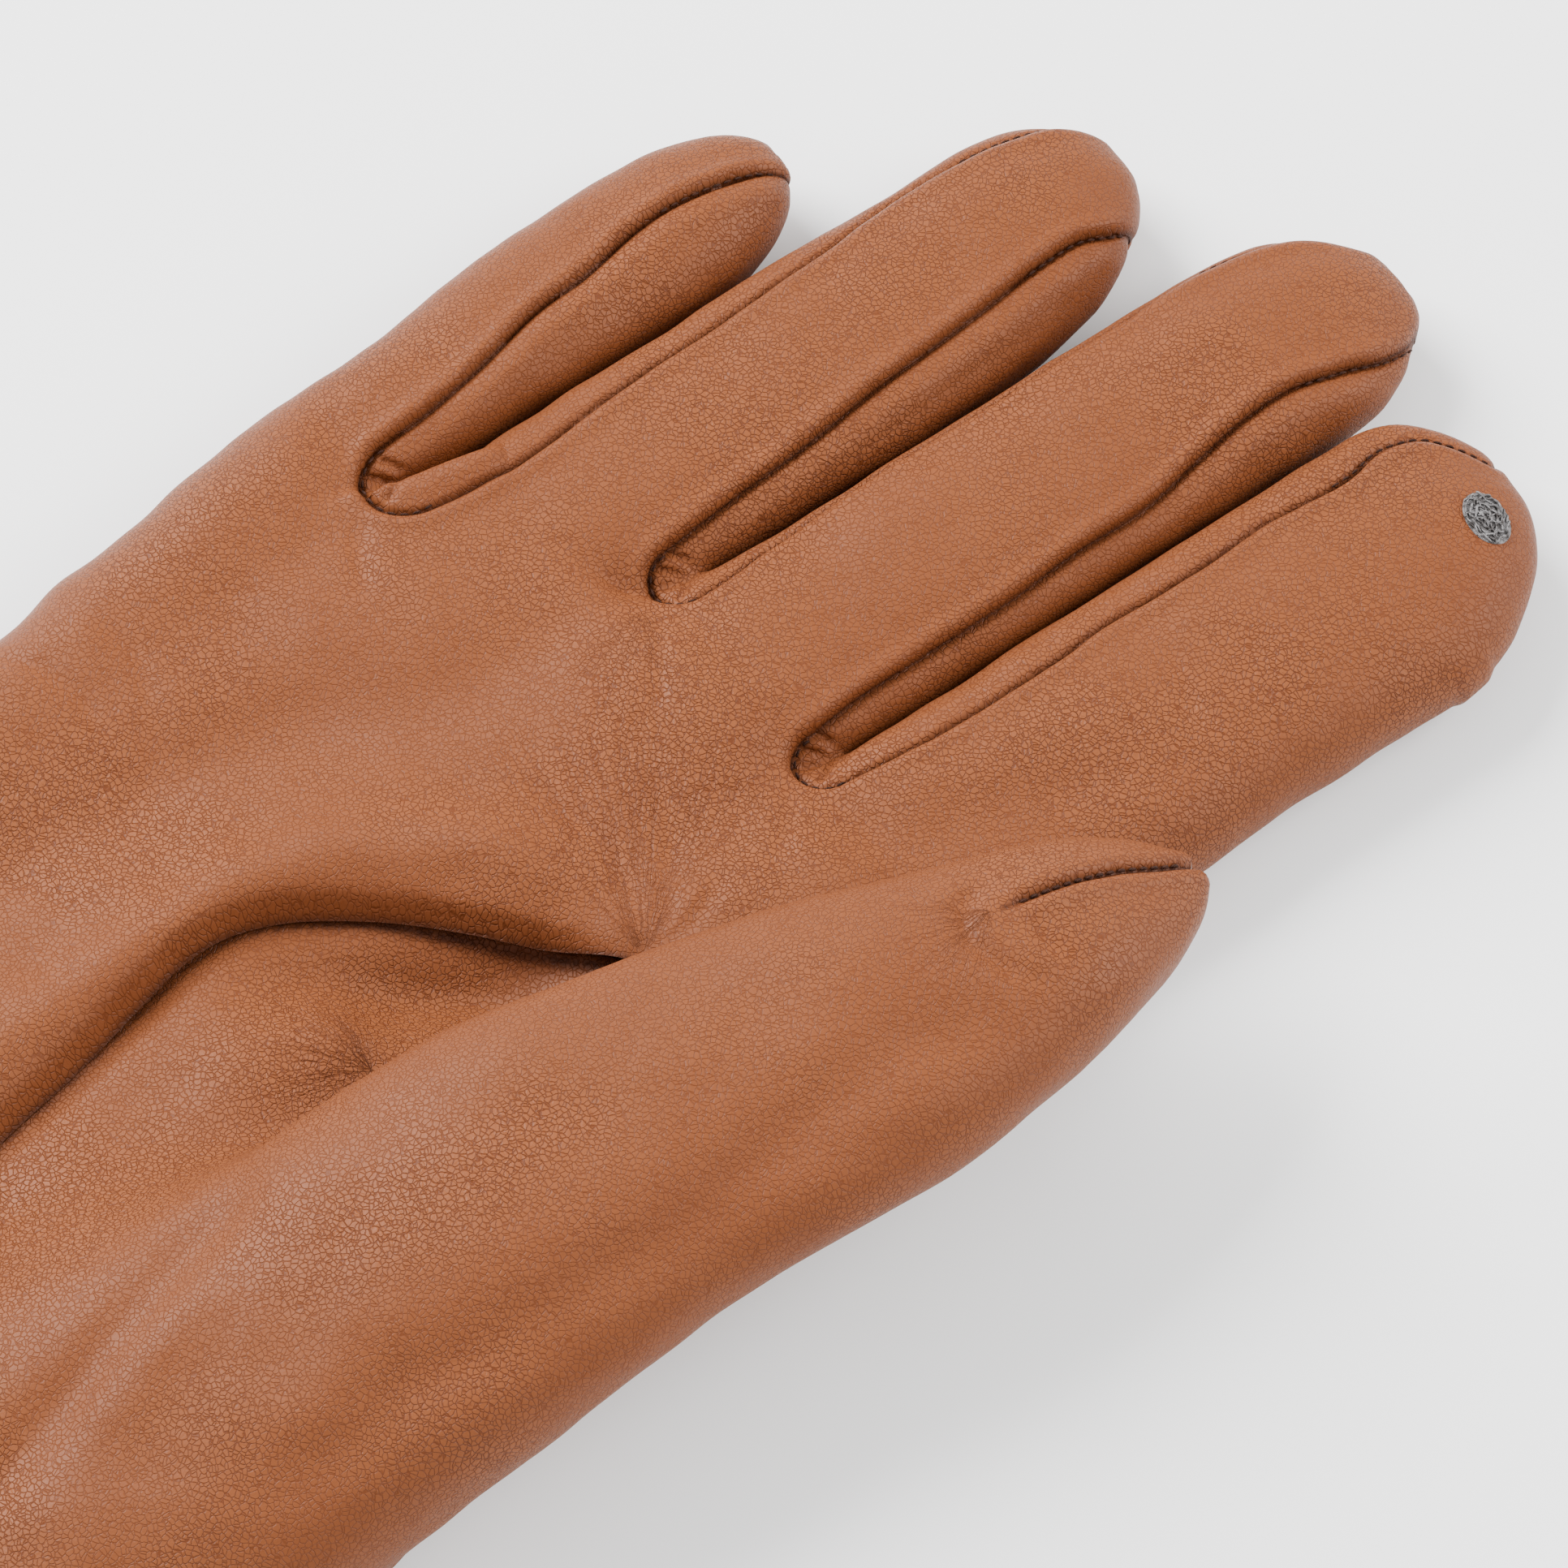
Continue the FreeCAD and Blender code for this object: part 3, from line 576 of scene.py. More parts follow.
def cut(points, tris, value, mask=None, snap=0.18):
    """Cuts triangles along the zero line of a value at each vertex. Vertices near it move onto it."""
    points, value = points.copy(), value.copy()
    allowed = np.ones(len(tris), bool) if mask is None else mask
    live = tris[allowed]
    ends = np.concatenate([live[:, [0, 1]], live[:, [1, 2]], live[:, [2, 0]]])
    crossing = value[ends[:, 0]] * value[ends[:, 1]] < 0
    e = ends[crossing]
    t = value[e[:, 0]] / (value[e[:, 0]] - value[e[:, 1]])
    spot = points[e[:, 0]] + (points[e[:, 1]] - points[e[:, 0]]) * t[:, None]
    near_a, near_b = t < snap, t > 1 - snap
    points[e[near_a, 0]] = spot[near_a]
    value[e[near_a, 0]] = 0
    points[e[near_b, 1]] = spot[near_b]
    value[e[near_b, 1]] = 0
    sign = np.sign(value)
    crossing = sign[ends[:, 0]] * sign[ends[:, 1]] < 0
    e = np.sort(ends[crossing], 1).astype(np.int64)
    n = len(points)
    keys = np.unique(e[:, 0] * n + e[:, 1])
    a, b = keys // n, keys % n
    t = value[a] / (value[a] - value[b])
    fresh = points[a] + (points[b] - points[a]) * t[:, None]
    all_points = np.concatenate([points, fresh])

    def new_on(p, q):
        lo, hi = np.minimum(p, q).astype(np.int64), np.maximum(p, q).astype(np.int64)
        return n + np.searchsorted(keys, lo * n + hi)

    s = sign[live]
    cross = np.stack([s[:, 0] * s[:, 1] < 0, s[:, 1] * s[:, 2] < 0, s[:, 2] * s[:, 0] < 0], 1)
    count = cross.sum(1)
    out = [tris[~allowed], live[count == 0]]
    two = np.nonzero(count == 2)[0]
    first = np.where(~cross[two, 0], 2, np.where(~cross[two, 1], 0, 1))
    a, b, c = (live[two, (first + k) % 3] for k in range(3))
    p, q = new_on(a, b), new_on(c, a)
    out += [np.stack([a, p, q], 1), np.stack([p, b, c], 1), np.stack([p, c, q], 1)]
    one = np.nonzero(count == 1)[0]
    first = (cross[one].argmax(1) + 2) % 3
    a, b, c = (live[one, (first + k) % 3] for k in range(3))
    p = new_on(b, c)
    out += [np.stack([a, b, p], 1), np.stack([a, p, c], 1)]
    return all_points, np.concatenate(out)


def normals_of(points, tris):
    a, b, c = (points[tris[:, i]] for i in range(3))
    face = np.cross(b - a, c - a)
    total = np.zeros_like(points)
    for k in range(3):
        for m in range(3):
            total[:, m] += np.bincount(tris[:, k], weights=face[:, m], minlength=len(points))
    return total / np.maximum(np.linalg.norm(total, axis=1, keepdims=True), 1e-12)


def fork_value(name, p):
    """Signed distance to a fork's seams in plan, positive on the side strips. It differs on palm and back."""
    x, y, z = p.T
    left, right = FORK_TABLES[name]
    bottom = FORK_BOTTOM[name]
    gap = GAP_X[name](y)[0]
    palm_l, palm_r = left(y)[0], right(y)[0]
    last_l = FORK_SEAMS[name][0][-1][0]
    last_r = FORK_SEAMS[name][1][-1][0]
    back_l = gap - BACK_SEAM_OFF + (palm_l - gap + BACK_SEAM_OFF) * ramp(y, last_l - 18, last_l - 3)
    back_r = gap + BACK_SEAM_OFF + (palm_r - gap - BACK_SEAM_OFF) * ramp(y, last_r - 18, last_r - 3)
    level = ramp(z, MID_Z - 2.0, MID_Z + 2.0)
    lo, hi = back_l + (palm_l - back_l) * level, back_r + (palm_r - back_r) * level
    middle, half = (lo + hi) / 2, (hi - lo) / 2
    side = half - np.abs(x - middle)
    top = bottom + half
    round_end = half - np.hypot(x - middle, y - top)
    value = np.where(y < top, round_end, side)
    return value


def tip_value(p):
    """Height above the seam that joins palm and back round the tips and down the little finger side."""
    return p[:, 2] - TIP_SEAM_Z


def has_tip_seam(p):
    x, y = p[:, 0], p[:, 1]
    return (x < 30.0) | (y > 99.0)


def hole_value(p):
    """Positive inside the thumb hole in plan, on the palm side of the glove."""
    inside = in_hole(p[:, 0], p[:, 1])
    return np.minimum(inside, (p[:, 2] - 9.0) * 1.5)


def seam_distance(p):
    forks = np.stack([fork_value(name, p) for name in FORK_ORDER])
    best = np.abs(forks).min(0)
    outside = (forks < 0.8).all(0)
    tip = np.where(outside & has_tip_seam(p), np.abs(tip_value(p)), 9.0)
    hole = np.abs(hole_value(p))
    return np.minimum(np.minimum(best, tip), hole)


def finger_at(p):
    """Number of the finger (0 little to 3 index) whose side of the gap lines a point is on."""
    x, y = p[:, 0], p[:, 1]
    return sum((x > GAP_X[name](y)[0]).astype(int) for name in FORK_ORDER)


def lumps(p, size, seed, octaves=2):
    """Smooth random unevenness, about -1 to 1."""
    rng = np.random.default_rng(seed)
    out = np.zeros(len(p))
    for octave in range(octaves):
        for _ in range(7):
            k = rng.normal(size=3)
            k = k / np.linalg.norm(k) * (2 * math.pi / size) * (1.7**octave) * rng.uniform(0.7, 1.3)
            out += np.sin(p @ k + rng.uniform(0, 6.28)) * 0.38 / (1.8**octave)
    return out


def seam_relief(value):
    """Height of the leather beside a sewn edge: a groove at the stitch line and a soft roll next to it."""
    d = np.abs(value)
    groove = -0.75 * np.exp(-((d / 0.5) ** 2))
    palm_roll = 0.42 * np.exp(-(((d - 1.4) / 0.95) ** 2))
    fork_dip = -0.32 * np.exp(-((d / 1.5) ** 2)) + 0.30 * np.exp(-(((d - 2.7) / 1.3) ** 2))
    return groove + np.where(value < 0, palm_roll, fork_dip)


def hand_mesh():
    xs = np.arange(-66.0, 74.0, STEP)
    ys = np.arange(HEM_JOIN_Y - 2.0, 127.0, STEP)
    zs = np.arange(-1.6, 18.4, STEP)
    points, quads = surface_net(hand_field, xs, ys, zs, warp_to_real)
    tris = triangles_of(points, quads)
    points = settle(hand_field, points)
    for band in REFINE_BANDS:
        centre = points[tris].mean(1)
        wanted = (seam_distance(centre) < band) & (centre[:, 1] > -95)
        count = len(points)
        points, tris = refine(points, tris, wanted)
        points = settle(hand_field, points, rounds=1, reach=0.3, first=count)
    points, tris = cut(points, tris, points[:, 1] - HEM_JOIN_Y)
    tris = tris[points[tris].mean(1)[:, 1] > HEM_JOIN_Y]
    for name in FORK_ORDER:
        points, tris = cut(points, tris, fork_value(name, points))
    centre = points[tris].mean(1)
    in_fork = np.stack([fork_value(name, centre) for name in FORK_ORDER]).max(0) > 0
    points, tris = cut(points, tris, tip_value(points), ~in_fork & has_tip_seam(centre))
    near_hole = points[tris].mean(1)[:, 2] > 6.0
    points, tris = cut(points, tris, hole_value(points), near_hole)
    centre = points[tris].mean(1)
    tris = tris[~((hole_value(centre) > 0) & (centre[:, 2] > 6.0))]
    for number, name in enumerate(FINGER_ORDER):
        for at in PART_Y[name]:
            mine = finger_at(points[tris].mean(1)) == number
            points, tris = cut(points, tris, points[:, 1] - at, mine, snap=0.3)
    used, tris = np.unique(tris, return_inverse=True)
    return points[used], tris.reshape(-1, 3)


def folds(p, strokes):
    """Height of a set of folds, each fading out at both ends."""
    out = np.zeros(len(p))
    for line, height, width in strokes:
        near = np.abs(p[:, 0] - np.mean([q[0] for q in line])) < 90
        d, along = polyline_distance(p[near, 0], p[near, 1], line)
        length = sum(math.dist(a, b) for a, b in zip(line, line[1:]))
        end = min(0.3 * length, 3 * width) + 0.01
        fade = 0.25 + 0.75 * ramp(along, 0, end) * ramp(length - along, 0, end)
        out[near] += height * np.exp(-((d / width) ** 2)) * fade
    return out


def hand_relief(p):
    """How far the leather of hand and fingers stands off its plain shape."""
    forks = np.stack([fork_value(name, p) for name in FORK_ORDER])
    x, y, z = p.T
    out = np.zeros(len(p))
    nearest = forks[np.abs(forks).argmin(0), np.arange(len(p))]
    which = np.abs(forks).argmin(0)
    left = x < np.stack([GAP_X[name](y)[0] for name in FORK_ORDER])[which, np.arange(len(p))]
    ends = np.array([[FORK_SEAMS[name][side][-1][0] for side in (0, 1)] for name in FORK_ORDER])
    end = np.where(left, ends[which, 0], ends[which, 1])
    out += seam_relief(nearest) * (1 - 0.7 * ramp(y, end - 7.0, end - 1.0))
    free = (forks < 0.8).all(0) & has_tip_seam(p)
    soft_start = np.where(x > 30.0, ramp(y, 98.0, 106.0), 1.0)
    out += np.where(free, -0.55 * np.exp(-((tip_value(p) / 0.6) ** 2)) * ramp(y, -122, -110), 0) * soft_start
    hole = hole_value(p)
    d = np.maximum(-hole, 0)
    visible = ramp(z, 8.0, 11.0) * (1 - ramp(y, 10.5, 13.0))
    fade = 1 - 0.75 * ramp(y, 2.0, 9.5)
    out += visible * fade * (-2.3 * np.exp(-((d / 1.5) ** 2)) - 0.3 * np.exp(-((d / 0.4) ** 2)))
    palm = ramp(z, 8.0, 12.0)
    in_hide = (forks < 0.5).all(0)
    out += palm * in_hide * folds(p, PALM_FOLDS) + (1 - palm) * folds(p, BACK_FOLDS)
    for name in FORK_ORDER:
        gap, bottom = GAP_X[name](y)[0], FORK_BOTTOM[name]
        q = np.stack([x - gap, y - bottom, z], 1)
        tucks = folds(q, [(line, -0.6, 0.42) for line in FORK_TUCKS])
        out += tucks * ramp(z, 6.0, 9.0) * (fork_value(name, p) > 0.2)
    out += 0.16 * lumps(p, 26.0, 3) + 0.06 * lumps(p, 9.0, 5)
    return out


def label_hand(p):
    """(finger, kind) of each point: kind 0 is the hide, 1 the strip left of a gap line, 2 right of it."""
    forks = np.stack([fork_value(name, p) for name in FORK_ORDER])
    finger = finger_at(p)
    kind = np.zeros(len(p), int)
    for i, name in enumerate(FORK_ORDER):
        here = forks[i] > 0
        left = p[:, 0] < GAP_X[name](p[:, 1])[0]
        kind[here & left] = 1
        kind[here & ~left] = 2
    return finger, kind


def add_rest(obj, rest):
    attribute = obj.data.attributes.new("rest", "FLOAT_VECTOR", "POINT")
    attribute.data.foreach_set("vector", rest.astype(np.float32).ravel())


def add_value(obj, name, values):
    attribute = obj.data.attributes.new(name, "FLOAT", "POINT")
    attribute.data.foreach_set("value", values.astype(np.float32))


def on_table(points):
    """Presses flat, softly, what would hang below the table the glove lies on."""
    points = points.copy()
    points[:, 2] = smooth_max(points[:, 2], 0.0, TABLE_GIVE)
    return points


def piece(name, points, rest, tris, chosen, normals, material, values=None):
    """One sewn piece as its own object, with the shading normals of the uncut leather."""
    used, own = np.unique(tris[chosen], return_inverse=True)
    own = own.reshape(-1, 3)
    obj = mesh_object(name, points[used], own, material)
    add_rest(obj, rest[used])
    for key, v in (values or {}).items():
        add_value(obj, key, v[used])
    if len(obj.data.vertices) == len(used):
        obj.data.normals_split_custom_set_from_vertices(normals[used].astype(np.float32))
    return obj


def build_hand(material):
    rest, tris = hand_mesh()
    normal = normals_of(rest, tris)
    relief = hand_relief(rest)
    points = on_table(rest + normal * relief[:, None])
    centre = rest[tris].mean(1)
    finger, kind = label_hand(centre)
    y = centre[:, 1]
    forks = np.stack([fork_value(name, rest) for name in FORK_ORDER])
    dark = np.exp(-((np.abs(forks).min(0) / 0.34) ** 2))
    hole = np.exp(-((hole_value(rest) / 0.5) ** 2)) * (rest[:, 2] > 8) * (rest[:, 0] < 21)
    values = {"seam": np.maximum(dark, hole)}
    made = []
    hide_normals = normals_of(points, tris[kind == 0])
    strip_normals = normals_of(points, tris[kind > 0])
    zone = np.zeros(len(tris), int)
    for number, name in enumerate(FINGER_ORDER):
        low, high = PART_Y[name]
        mine = finger == number
        zone[mine & (y > low)] = 1 + 2 * number
        zone[mine & (y > high)] = 2 + 2 * number
    chosen = (kind == 0) & (zone == 0)
    hand = piece("hand_leather", points, rest, tris, chosen, hide_normals, material, values)
    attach(hand, "hand")
    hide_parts("palm_panel", "back_panel")
    made.append(hand)
    for i, fork in enumerate(FORK_ORDER):
        own = (kind > 0) & (zone == 0) & (fork_value(fork, centre) > 0)
        label = f"fork_{fork}_leather"
        obj = piece(label, points, rest, tris, own, strip_normals, material, values)
        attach(obj, "hand")
        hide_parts(f"fork_{fork}")
        made.append(obj)
    for number, name in enumerate(FINGER_ORDER):
        for part, level in enumerate(LEVELS):
            own = zone == 1 + 2 * number + part
            label, chosen = f"{name}_{level}_leather", own & (kind == 0)
            obj = piece(label, points, rest, tris, chosen, hide_normals, material, values)
            bend_finger(obj)
            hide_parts(f"{name}_palm_{level}", f"{name}_back_{level}")
            made.append(obj)
            left, right = GAP_OF[name]
            for side_kind, fork, words in ((2, left, ("inner", "ulnar")), (1, right, ("inner", "radial"))):
                if not fork:
                    continue
                word = words[0] if name in ("little", "index") else words[1]
                chosen = own & (kind == side_kind) & (finger == number)
                label = f"{name}_{word}_{level}_strip"
                obj = piece(label, points, rest, tris, chosen, strip_normals, material, values)
                bend_finger(obj)
                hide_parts(f"{name}_side_{word}_{level}")
                made.append(obj)
    return made


def bend_finger(obj):
    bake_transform(obj)


def build_thumb(material):
    xs = np.arange(-12.0, 68.0, STEP)
    ys = np.arange(-98.0, 64.0, STEP)
    zs = np.arange(0.0, 36.0, STEP)
    points, quads = surface_net(thumb_field, xs, ys, zs, lambda x, y, z: (x, y, z))
    tris = triangles_of(points, quads)
    points = settle(thumb_field, points)
    x, y, z = points.T
    on_gusset = (in_hole(x, y) > -2.4) & (z > 7.5) & (x < 48.0)
    deep = (hand_field(x, y, z) < -2.2) & ~on_gusset
    tris = tris[~deep[tris].all(1)]
    dart = np.abs(dart_value(points[tris].mean(1))[0])
    points, tris = refine(points, tris, dart < 2.0)
    points = settle(thumb_field, points, rounds=1)
    dart = np.abs(dart_value(points[tris].mean(1))[0])
    points, tris = refine(points, tris, dart < 1.0)
    points = settle(thumb_field, points, rounds=1)
    points, tris = cut(points, tris, points[:, 1] - THUMB_PART_Y, snap=0.3)
    used, tris = np.unique(tris, return_inverse=True)
    rest, tris = points[used], tris.reshape(-1, 3)
    normal = normals_of(rest, tris)
    relief = thumb_relief(rest)
    points = on_table(rest + normal * relief[:, None])
    normals = normals_of(points, tris)
    dart, _ = dart_value(rest)
    hole = in_hole(rest[:, 0], rest[:, 1])
    on_seam = (rest[:, 1] < 10.5) & (rest[:, 0] < 21.0) & (rest[:, 1] > -80.0)
    dark = np.exp(-((dart / 0.35) ** 2)) * (rest[:, 2] > 18) + np.exp(-((hole / 0.5) ** 2)) * on_seam
    values = {"seam": np.minimum(dark, 1)}
    upper = rest[tris].mean(1)[:, 1] > THUMB_PART_Y
    root = piece("thumb_root_leather", points, rest, tris, ~upper, normals, material, values)
    tip = piece("thumb_tip_leather", points, rest, tris, upper, normals, material, values)
    bend_thumb(root)
    bend_thumb(tip)
    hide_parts("thumb_foot", "thumb_heel", "thumb_front_lower", "thumb_rear_lower")
    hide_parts("thumb_front_upper", "thumb_rear_upper")
    return [root, tip]


def polyline_distance(x, y, line):
    """Signed distance to an open line in plan, positive to its right, and how far along it that is."""
    best = np.full(x.shape, 1e9)
    side = np.ones(x.shape)
    along = np.zeros(x.shape)
    done = 0.0
    for (x0, y0), (x1, y1) in zip(line, line[1:]):
        dx, dy = x1 - x0, y1 - y0
        length = math.hypot(dx, dy)
        t = np.clip(((x - x0) * dx + (y - y0) * dy) / length**2, 0, 1)
        d = np.hypot(x - x0 - t * dx, y - y0 - t * dy)
        closer = d < best
        best = np.where(closer, d, best)
        side = np.where(closer, np.where((x - x0) * dy - (y - y0) * dx > 0, 1, -1), side)
        along = np.where(closer, done + t * length, along)
        done += length
    return best * side, along


def dart_value(p):
    d, along = polyline_distance(p[:, 0], p[:, 1], DART)
    low = p[:, 2] < 18.0
    return np.where(low, 9.0, d), along


def thumb_relief(p):
    x, y, z = p.T
    d, along = dart_value(p)
    depth = ramp(along, 0.0, 3.0)
    out = -0.7 * np.exp(-((d / 0.45) ** 2)) * depth
    out += 0.35 * np.exp(-(((np.abs(d) - 1.5) / 0.9) ** 2)) * depth
    out += folds(p, THUMB_FOLDS) * ramp(z, 14.0, 19.0) * (y < 45.0)
    out += 0.18 * lumps(p, 24.0, 11) + 0.06 * lumps(p, 9.0, 12)
    return out


def bend_thumb(obj):
    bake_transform(obj)


# Hem and lining


def hem_field(x, y, z):
    f = hand_field(x, y, z)
    shell = smooth_max(f, -(f + HEM_THICK), 0.9)
    return smooth_max(shell, CUFF_Y - y, 0.9)


def lining_field(x, y, z):
    hole = np.minimum(in_hole(x, y) + 2.0, (z - 7.0) * 1.5)
    hand = np.maximum(hand_field(x, y, z) + LINING_IN * ramp(y, HEM_JOIN_Y, HEM_JOIN_Y + 15.0), hole)
    return smooth_min(hand, thumb_field(x, y, z), 2.0) + LINING_IN


def build_hem(material):
    xs, ys = np.arange(-57.0, 56.0, 0.6), np.arange(CUFF_Y - 1.2, HEM_JOIN_Y + 3.0, 0.6)
    points, quads = surface_net(hem_field, xs, ys, np.arange(-1.2, 17.0, 0.6), lambda x, y, z: (x, y, z))
    tris = triangles_of(points, quads)
    points = settle(hem_field, points)
    points, tris = cut(points, tris, points[:, 1] - HEM_JOIN_Y)
    x, y, z = points.T
    outside = hand_field(x, y, z)[tris].mean(1) > -0.5 * HEM_THICK
    centre_y = y[tris].mean(1)
    tris = tris[(centre_y < HEM_JOIN_Y) | (~outside & (centre_y < HEM_JOIN_Y + 1.2))]
    used, tris = np.unique(tris, return_inverse=True)
    rest, tris = points[used], tris.reshape(-1, 3)
    x, y, z = rest.T
    outer = ramp(hand_field(x, y, z), -1.4, -0.3)
    relief = hand_relief(rest) * outer
    points = on_table(rest + normals_of(rest, tris) * relief[:, None])
    values = {"seam": 0.7 * np.exp(-(((y - HEM_JOIN_Y) / 0.35) ** 2))}
    every, normals = np.ones(len(tris), bool), normals_of(points, tris)
    hem = piece("cuff_hem_leather", points, rest, tris, every, normals, material, values)
    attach(hem, "hand")
    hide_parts("cuff_hem")
    return hem


def build_lining(material):
    step = LINING_STEP
    xs, ys = np.arange(-66.0, 68.0, step), np.arange(HEM_JOIN_Y - 1.5, 126.0, step)
    points, quads = surface_net(lining_field, xs, ys, np.arange(-1.6, 34.0, step), lambda x, y, z: (x, y, z))
    tris = triangles_of(points, quads)
    points = settle(lining_field, points)
    tris = tris[points[tris].mean(1)[:, 1] > HEM_JOIN_Y - 0.7]

    def in_thumb(p):
        pivot = np.array(JOINT["thumb_root"]["pos_m"]) / MM
        ahead = (p[:, 0] - pivot[0]) * math.sin(SWING_TURN) + (p[:, 1] - pivot[1]) * math.cos(SWING_TURN)
        return (p[:, 2] > 14.6) & (p[:, 0] > 12.0) & (ahead > -SWING_BEFORE)

    thumb = in_thumb(points[tris].mean(1))
    points, tris = cut(points, tris, points[:, 1] - THUMB_PART_Y, thumb, snap=0.3)
    for number, name in enumerate(FINGER_ORDER):
        for at in PART_Y[name]:
            centre = points[tris].mean(1)
            mine = (finger_at(centre) == number) & ~in_thumb(centre)
            points, tris = cut(points, tris, points[:, 1] - at, mine, snap=0.3)
    centre = points[tris].mean(1)
    finger, thumb, y = finger_at(centre), in_thumb(centre), centre[:, 1]
    normals = normals_of(points, tris)
    zone = np.zeros(len(tris), int)
    for number, name in enumerate(FINGER_ORDER):
        low, high = PART_Y[name]
        zone[(finger == number) & (y > low)] = 1 + 2 * number
        zone[(finger == number) & (y > high)] = 2 + 2 * number
    zone[thumb] = 9
    zone[thumb & (y > THUMB_PART_Y)] = 10
    hand = piece("lining_hand", points, points, tris, zone == 0, normals, material)
    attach(hand, "hand")
    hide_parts("hand_lining", "thumb_foot_lining")
    made = [hand]
    for digit, name in enumerate(FINGER_ORDER + ["thumb"]):
        for part, level in enumerate(LEVELS):
            chosen = zone == 1 + 2 * digit + part
            obj = piece(f"lining_{name}_{level}", points, points, tris, chosen, normals, material)
            if name == "thumb":
                bend_thumb(obj)
            else:
                bend_finger(obj)
            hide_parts(f"{name}_lining_{level}")
            made.append(obj)
    return made


# Thread


def drop(field, x, y, top=36.0):
    """Height of a field's upper surface above each point of the plan."""
    x, y = np.asarray(x, float), np.asarray(y, float)
    z = np.full(x.shape, top)
    for _ in range(90):
        z = z - np.clip(field(x, y, z) * 0.8, -0.5, 2.0)
    return z


def strand(path, radius, sides=6):
    """A round thread with tapered ends along a path. Returns its points and triangles."""
    path = np.asarray(path, float)
    n = len(path)
    tangent = np.gradient(path, axis=0)
    tangent /= np.linalg.norm(tangent, axis=1, keepdims=True)
    across = np.cross(tangent, (0.0, 0.0, 1.0))
    across /= np.maximum(np.linalg.norm(across, axis=1, keepdims=True), 1e-9)
    up = np.cross(across, tangent)
    t = np.linspace(-1, 1, n)
    size = radius * np.sqrt(np.maximum(1 - t**4, 0.05))
    turn = np.arange(sides) * 2 * math.pi / sides
    ring = across[:, None] * np.cos(turn)[None, :, None] + up[:, None] * np.sin(turn)[None, :, None]
    points = (path[:, None] + ring * size[:, None, None]).reshape(-1, 3)
    points = np.concatenate([points, path[:1], path[-1:]])
    tris = []
    for i in range(n - 1):
        for k in range(sides):
            a, b = i * sides + k, i * sides + (k + 1) % sides
            tris += [(a, b, b + sides), (a, b + sides, a + sides)]
    first, last = n * sides, n * sides + 1
    for k in range(sides):
        tris.append((first, (k + 1) % sides, k))
        tris.append((last, (n - 1) * sides + k, (n - 1) * sides + (k + 1) % sides))
    return points, np.array(tris)


def joined(parts):
    points, tris, done = [], [], 0
    for p, t in parts:
        points.append(p)
        tris.append(t + done)
        done += len(p)
    return np.concatenate(points), np.concatenate(tris)


def stitches(path, pitch=1.35, length=0.95, radius=0.14):
    """A row of short stitches along a path of 3-D points."""
    path = np.asarray(path, float)
    run = np.concatenate([[0], np.cumsum(np.linalg.norm(np.diff(path, axis=0), axis=1))])
    parts = []
    for start in np.arange(0.3, run[-1] - length, pitch):
        at = start + np.linspace(0, length, 5)
        line = np.stack([np.interp(at, run, path[:, k]) for k in range(3)], 1)
        line[:, 2] += 0.10 * np.sin(np.linspace(0, math.pi, 5)) - 0.05
        parts.append(strand(line, radius))
    return parts


def seam_path(table_rows, y0, y1):
    y = np.linspace(y0, y1, 80)
    x = smooth_table(table_rows)(y)[0]
    z = drop(hand_field, x, y, 18.0)
    kept = z > TIP_SEAM_Z + 3.0
    return np.stack([x, y, z - STITCH_SINK], 1)[kept]




def thread_object(name, parts, material):
    points, tris = joined(parts)
    obj = mesh_object(name, points, tris, material)
    add_rest(obj, points)
    return obj


def build_stitches(material):
    made = []
    for number, name in enumerate(FINGER_ORDER):
        parts = []
        left, right = GAP_OF[name]
        if left:
            rows = FORK_SEAMS[left][1]
            parts += stitches(seam_path(rows, rows[-1][0] - STITCHED_TIP, rows[-1][0]))
        if right:
            rows = FORK_SEAMS[right][0]
            parts += stitches(seam_path(rows, rows[-1][0] - STITCHED_TIP, rows[-1][0]))
        obj = thread_object(f"{name}_stitches", parts, material)
        bend_finger(obj)
        made.append(obj)
    parts = []
    for name in FORK_ORDER:
        rows_l, rows_r = FORK_SEAMS[name]
        bottom = FORK_BOTTOM[name]
        low_y = bottom + 3.4
        xl, xr = smooth_table(rows_l)(np.array([low_y]))[0][0], smooth_table(rows_r)(np.array([low_y]))[0][0]
        half = (xr - xl) / 2
        angle = np.radians(np.linspace(170, 370, 50))
        x = (xl + xr) / 2 + half * np.cos(angle)
        y = bottom + half + half * np.sin(angle)
        parts += stitches(np.stack([x, y, drop(hand_field, x, y, 18.0) - STITCH_SINK], 1))
    forks = thread_object("fork_stitches", parts, material)
    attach(forks, "hand")
    line = np.array(DART, float)
    run = np.concatenate([[0], np.cumsum(np.linalg.norm(np.diff(line, axis=0), axis=1))])
    at = np.linspace(0.2, run[-1] - 2.6, 60)
    x, y = np.interp(at, run, line[:, 0]), np.interp(at, run, line[:, 1])
    path = np.stack([x, y, drop(thumb_field, x, y) - STITCH_SINK], 1)
    dart = thread_object("dart_stitches", stitches(path, 1.3, 0.9, 0.2), material)
    bend_thumb(dart)
    return made + [forks, dart]




